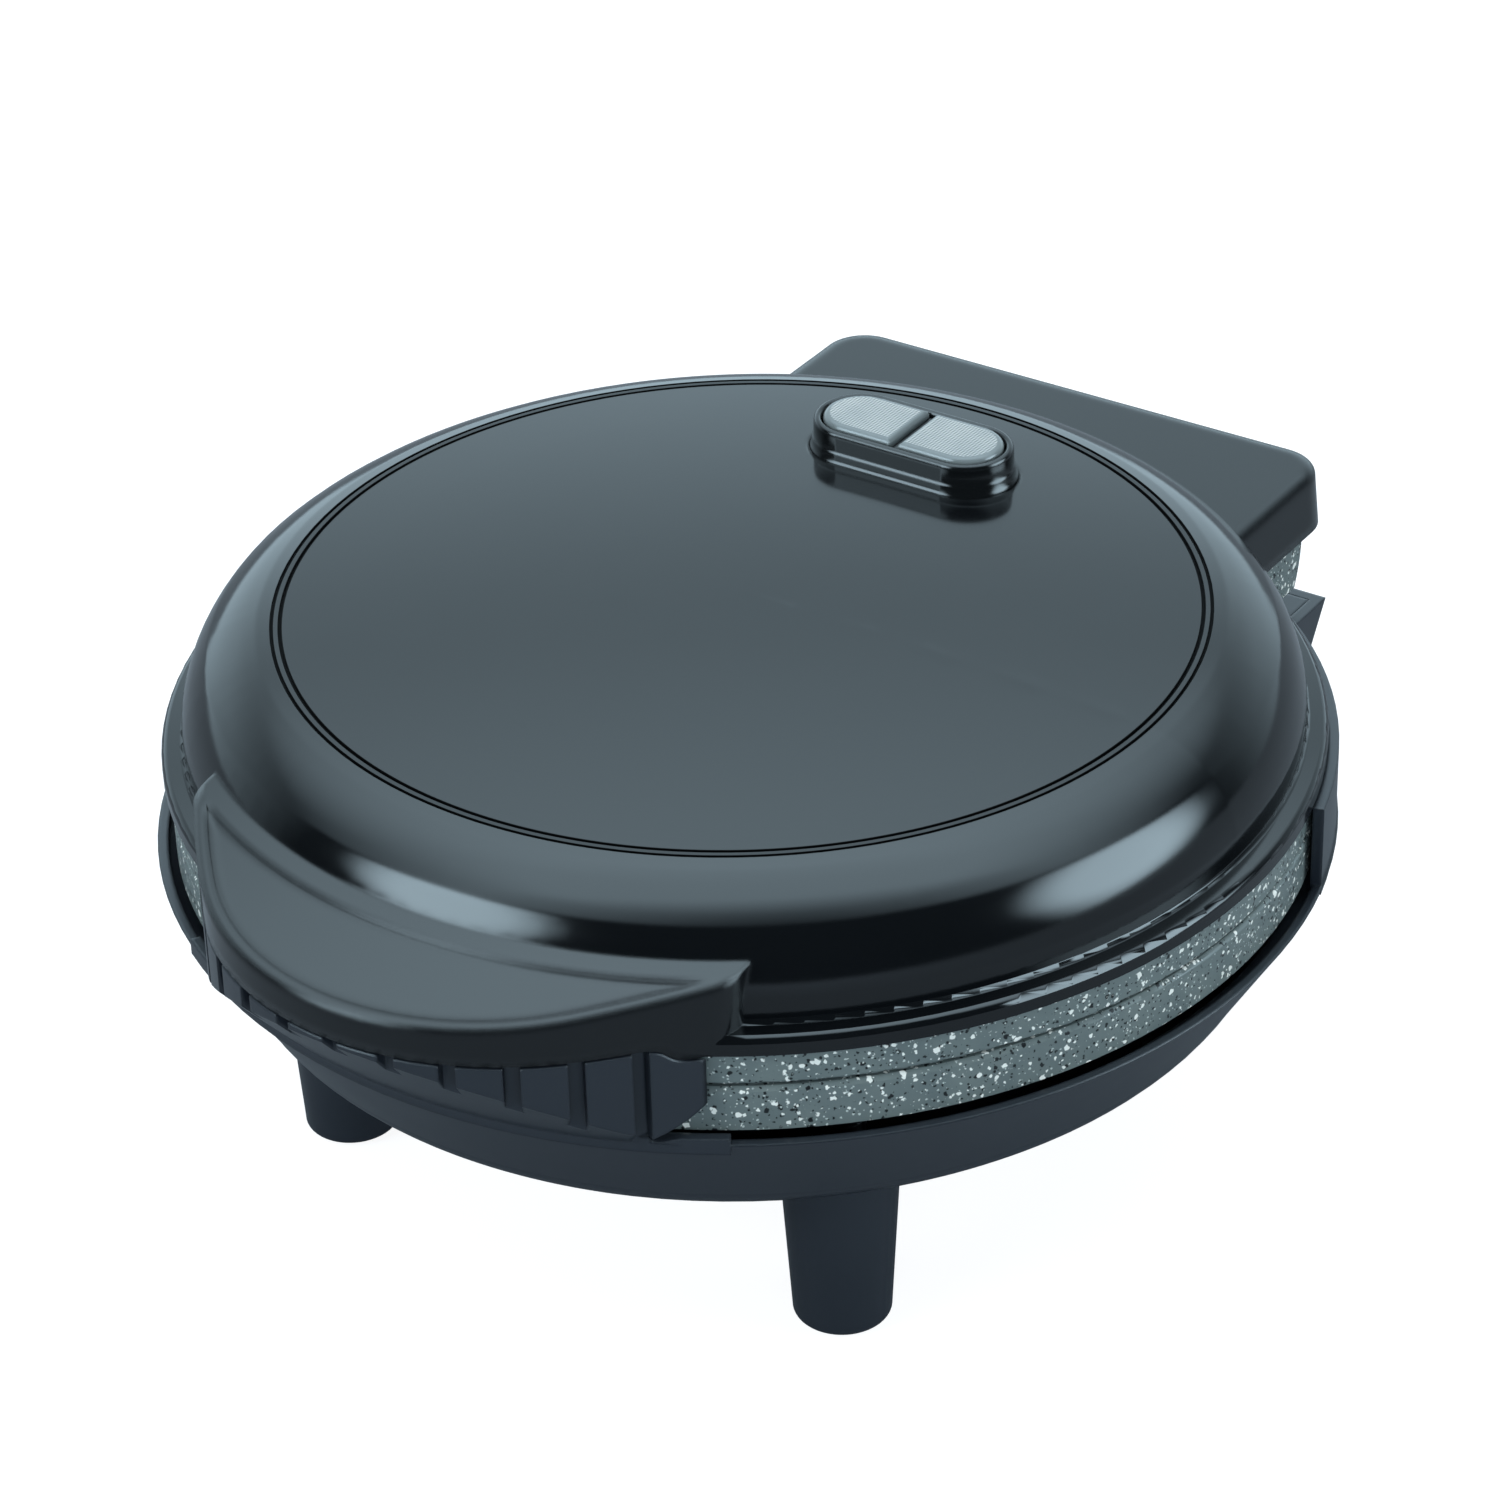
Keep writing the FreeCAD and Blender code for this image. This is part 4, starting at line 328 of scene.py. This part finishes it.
def clear_lens(name):
    """Clear moulded lens: a fine diamond pattern inside a plain rim."""
    material = bpy.data.materials.new(name)
    nodes = Nodes(material)
    shader = nodes.add("ShaderNodeBsdfPrincipled")
    parts = nodes.add("ShaderNodeSeparateXYZ")
    nodes.join(nodes.position(), parts.inputs[0])
    along, across = parts.outputs["X"], parts.outputs["Y"]
    turn = 2 * math.pi / (1.3 * MM)
    first = nodes.math("SINE", nodes.math("MULTIPLY", nodes.math("ADD", along, across), turn))
    second = nodes.math("SINE", nodes.math("MULTIPLY", nodes.math("SUBTRACT", along, across), turn))
    lattice = nodes.math("MULTIPLY_ADD", nodes.math("MULTIPLY", first, second), 0.5)
    lattice.node.inputs[2].default_value = 0.5
    side = nodes.math("ABSOLUTE", along)
    past_straight = nodes.math("MAXIMUM", nodes.math("SUBTRACT", side, 12.0 * MM), 0.0)
    off_middle = nodes.math("SUBTRACT", across, lens_middle)
    reach = nodes.math("ADD", nodes.math("POWER", past_straight, 2.0), nodes.math("POWER", off_middle, 2.0))
    rim = nodes.ramp(nodes.math("SQRT", reach), 5.9 * MM, 6.2 * MM)
    rim = nodes.math("MAXIMUM", rim, nodes.ramp(side, 2.0 * MM, 1.7 * MM))
    cloud = nodes.noise(160.0, detail=2.0)
    pale = nodes.mix(cloud, srgb(176, 188, 192), srgb(226, 232, 232))
    pattern = nodes.mix(lattice, srgb(88, 102, 108), pale)
    colour = nodes.mix(rim, pattern, srgb(116, 128, 132))
    relief = nodes.math("MULTIPLY", lattice, nodes.math("SUBTRACT", 1.0, rim))
    nodes.set(shader, Base_Color=colour, Roughness=0.16, IOR=1.49, Transmission_Weight=0.12)
    nodes.set(shader, Normal=nodes.bump(relief, 0.35, 0.1 * MM, 0.5 * MM))
    output = nodes.add("ShaderNodeOutputMaterial")
    nodes.join(shader.outputs[0], output.inputs["Surface"])
    return material


MATERIALS = {
    "lid_plastic": lid_plastic("lid_plastic", srgb(11, 14, 17), 0.12),
    "base_plastic": moulded_plastic("base_plastic", srgb(36, 42, 50), 0.3, edge=0.9 * MM),
    "bezel_plastic": moulded_plastic("bezel_plastic", srgb(14, 17, 19), 0.15, edge=0.5 * MM),
    "terminal_plastic": moulded_plastic("terminal_plastic", srgb(196, 194, 182), 0.45),
    "pad_rubber": moulded_plastic("pad_rubber", srgb(20, 21, 22), 0.7),
    "speckled_coating": speckled_coating("speckled_coating"),
    "heater_steel": metal("heater_steel", srgb(120, 116, 110), 0.4),
    "reflector_metal": metal("reflector_metal", srgb(205, 207, 208), 0.28),
    "screw_steel": metal("screw_steel", srgb(180, 181, 180), 0.3),
    "fuse_metal": metal("fuse_metal", srgb(176, 166, 140), 0.35),
    "lens_clear": clear_lens("lens_clear"),
    "lamp_red": moulded_plastic("lamp_red", srgb(150, 24, 18), 0.2),
    "lamp_green": moulded_plastic("lamp_green", srgb(30, 120, 44), 0.2),
}


def finish_material(obj, slot):
    obj.data.materials.clear()
    obj.data.materials.append(MATERIALS[slot])


def dress_nodes():
    """Give each CAD node the material that its record slot names."""
    slots = {entry["node"]: entry["material_slot"] for entry in frame["record"]["subparts"]}
    for name, node in frame["nodes"].items():
        finish_material(node, slots[name])


# Indicator


def stadium(grow, z):
    """The lens pair's outline, grown by an offset, as a closed ring of points at a height."""
    straight = lens_high_pair.x - (lens_high.y - lens_low.y) / 2
    radius = (lens_high.y - lens_low.y) / 2 + grow
    ring = []
    for side in (1, -1):
        for step in range(BEND_STEPS + 1):
            turn = math.pi * (step / BEND_STEPS - 0.5)
            x = side * (straight + radius * math.cos(turn))
            ring.append((x, lens_middle + side * radius * math.sin(turn), z))
    return ring


def indicator_rim():
    """A stepped oval rim with a flared foot, and the bar between the two lenses."""
    section = (
        (2.8, 106.9), (2.8, 107.6), (2.65, 108.0), (2.4, 108.3), (2.32, 109.6), (2.15, 109.9),
        (2.0, 110.1), (1.95, 113.1), (1.8, 113.7), (1.45, 114.0), (1.0, 114.1), (0.6, 113.9),
        (0.36, 113.5), (0.3, 112.9), (0.3, 106.9),
    )
    mesh = bmesh.new()
    rings = []
    for grow, z in section:
        rings.append([mesh.verts.new(point) for point in stadium(grow * MM, z * MM)])
    for low, high in zip(rings, rings[1:] + rings[:1]):
        for index, corner in enumerate(low):
            after = (index + 1) % len(low)
            mesh.faces.new((corner, low[after], high[after], high[index]))
    bar = bmesh.ops.create_cube(mesh, size=1.0)["verts"]
    size = Vector((1.3 * MM, lens_high.y - lens_low.y, 1.2 * MM))
    for corner in bar:
        corner.co = Vector((0, lens_middle, 112.5 * MM)) + corner.co * size
    bmesh.ops.recalc_face_normals(mesh, faces=mesh.faces)
    data = bpy.data.meshes.new("indicator_rim")
    mesh.to_mesh(data)
    mesh.free()
    for face in data.polygons:
        face.use_smooth = len(face.vertices) == 4 and face.area < 4e-6
    rim = bpy.data.objects.new("indicator_rim", data)
    bpy.context.scene.collection.objects.link(rim)
    finish_material(rim, "bezel_plastic")
    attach(rim, "lid")
    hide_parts("indicator_bezel")


# Room


def white_floor():
    """A white floor that keeps a soft shadow."""
    side = 6.0
    mesh = bpy.data.meshes.new("floor")
    corners = [(-side, -side, 0), (side, -side, 0), (side, side, 0), (-side, side, 0)]
    mesh.from_pydata(corners, [], [(0, 1, 2, 3)])
    floor = bpy.data.objects.new("floor", mesh)
    bpy.context.scene.collection.objects.link(floor)
    material = bpy.data.materials.new("floor_white")
    nodes = Nodes(material)
    matt = nodes.add("ShaderNodeBsdfDiffuse")
    nodes.set(matt, Color=(0.25, 0.29, 0.33, 1.0))
    light = nodes.add("ShaderNodeEmission")
    path = nodes.add("ShaderNodeLightPath")
    nodes.set(light, Color=(1, 1, 1, 1), Strength=nodes.math("MULTIPLY", path.outputs["Is Camera Ray"], 0.9))
    both = nodes.add("ShaderNodeAddShader")
    nodes.join(matt.outputs[0], both.inputs[0])
    nodes.join(light.outputs[0], both.inputs[1])
    output = nodes.add("ShaderNodeOutputMaterial")
    nodes.join(both.outputs[0], output.inputs["Surface"])
    mesh.materials.append(material)


def heading(azimuth, elevation):
    """A direction by its angles, in degrees: to the right of the camera's view, and up."""
    turn = math.radians(VIEW_AZIMUTH - azimuth)
    rise = math.radians(elevation)
    return Vector((-math.sin(turn) * math.cos(rise), math.cos(turn) * math.cos(rise), math.sin(rise)))


def studio_level(nodes):
    """How bright the studio is each way: a pale wall behind, a large soft ceiling, a softbox at each side."""
    way = nodes.add("ShaderNodeTexCoord").outputs["Generated"]

    def towards(direction):
        node = nodes.add("ShaderNodeVectorMath", operation="DOT_PRODUCT")
        nodes.join(way, node.inputs[0])
        node.inputs[1].default_value = direction
        return node.outputs["Value"]

    def scaled(value, strength):
        return nodes.math("MULTIPLY", value, strength)

    forward = towards(heading(-4, 0))
    height = towards((0, 0, 1))
    wall = scaled(nodes.ramp(forward, 0.2, 0.95), 1.2)
    low_band = nodes.math("MULTIPLY", wall, scaled(nodes.ramp(height, 0.48, 0.3), 0.4))
    ceiling = nodes.math("MULTIPLY", nodes.ramp(height, 0.52, 0.92), nodes.ramp(forward, -0.45, -0.12))
    left_box = nodes.ramp(towards(heading(-116, 28)), 0.915, 0.99, "SMOOTHSTEP")
    right_box = nodes.ramp(towards(heading(103, 17)), 0.905, 0.985, "SMOOTHSTEP")
    level = nodes.math("ADD", wall, low_band)
    level = nodes.math("ADD", level, scaled(ceiling, 3.2))
    level = nodes.math("ADD", level, scaled(left_box, 8.5))
    level = nodes.math("ADD", level, scaled(right_box, 8.0))
    return nodes.math("ADD", level, 0.03)


def studio():
    """The world: white to the camera, and a studio's light to all else."""
    world = bpy.data.worlds.new("world")
    bpy.context.scene.world = world
    nodes = Nodes(world)
    path = nodes.add("ShaderNodeLightPath")
    level = studio_level(nodes)
    seen = nodes.add("ShaderNodeBackground")
    nodes.set(seen, Color=(1, 1, 1, 1), Strength=1.0)
    fill = nodes.add("ShaderNodeBackground")
    nodes.set(fill, Color=(0.92, 0.98, 1.0, 1), Strength=nodes.math("MULTIPLY", level, 0.6))
    mirrored = nodes.add("ShaderNodeBackground")
    nodes.set(mirrored, Color=(0.76, 1.0, 1.14, 1), Strength=level)
    clear = nodes.math("MAXIMUM", path.outputs["Is Camera Ray"], path.outputs["Is Transmission Ray"])
    shiny = nodes.add("ShaderNodeMixShader")
    nodes.join(path.outputs["Is Glossy Ray"], shiny.inputs[0])
    nodes.join(fill.outputs[0], shiny.inputs[1])
    nodes.join(mirrored.outputs[0], shiny.inputs[2])
    both = nodes.add("ShaderNodeMixShader")
    nodes.join(clear, both.inputs[0])
    nodes.join(shiny.outputs[0], both.inputs[1])
    nodes.join(seen.outputs[0], both.inputs[2])
    output = nodes.add("ShaderNodeOutputWorld")
    nodes.join(both.outputs[0], output.inputs["Surface"])


def front_lamp():
    """A soft lamp low in front, for the matt surfaces only."""
    data = bpy.data.lights.new("front", "AREA")
    data.size = 1.2
    data.energy = 12
    data.color = (0.82, 0.92, 1.0)
    lamp = bpy.data.objects.new("front", data)
    bpy.context.scene.collection.objects.link(lamp)
    lamp.location = (0.9, -1.15, 0.35)
    lamp.rotation_euler = (Vector((0, 0, 0.07)) - lamp.location).to_track_quat("-Z", "Y").to_euler()
    lamp.visible_glossy = False


aim_camera()
white_floor()
studio()
front_lamp()
dress_nodes()
indicator_rim()

bpy.context.scene.view_settings.view_transform = "Standard"
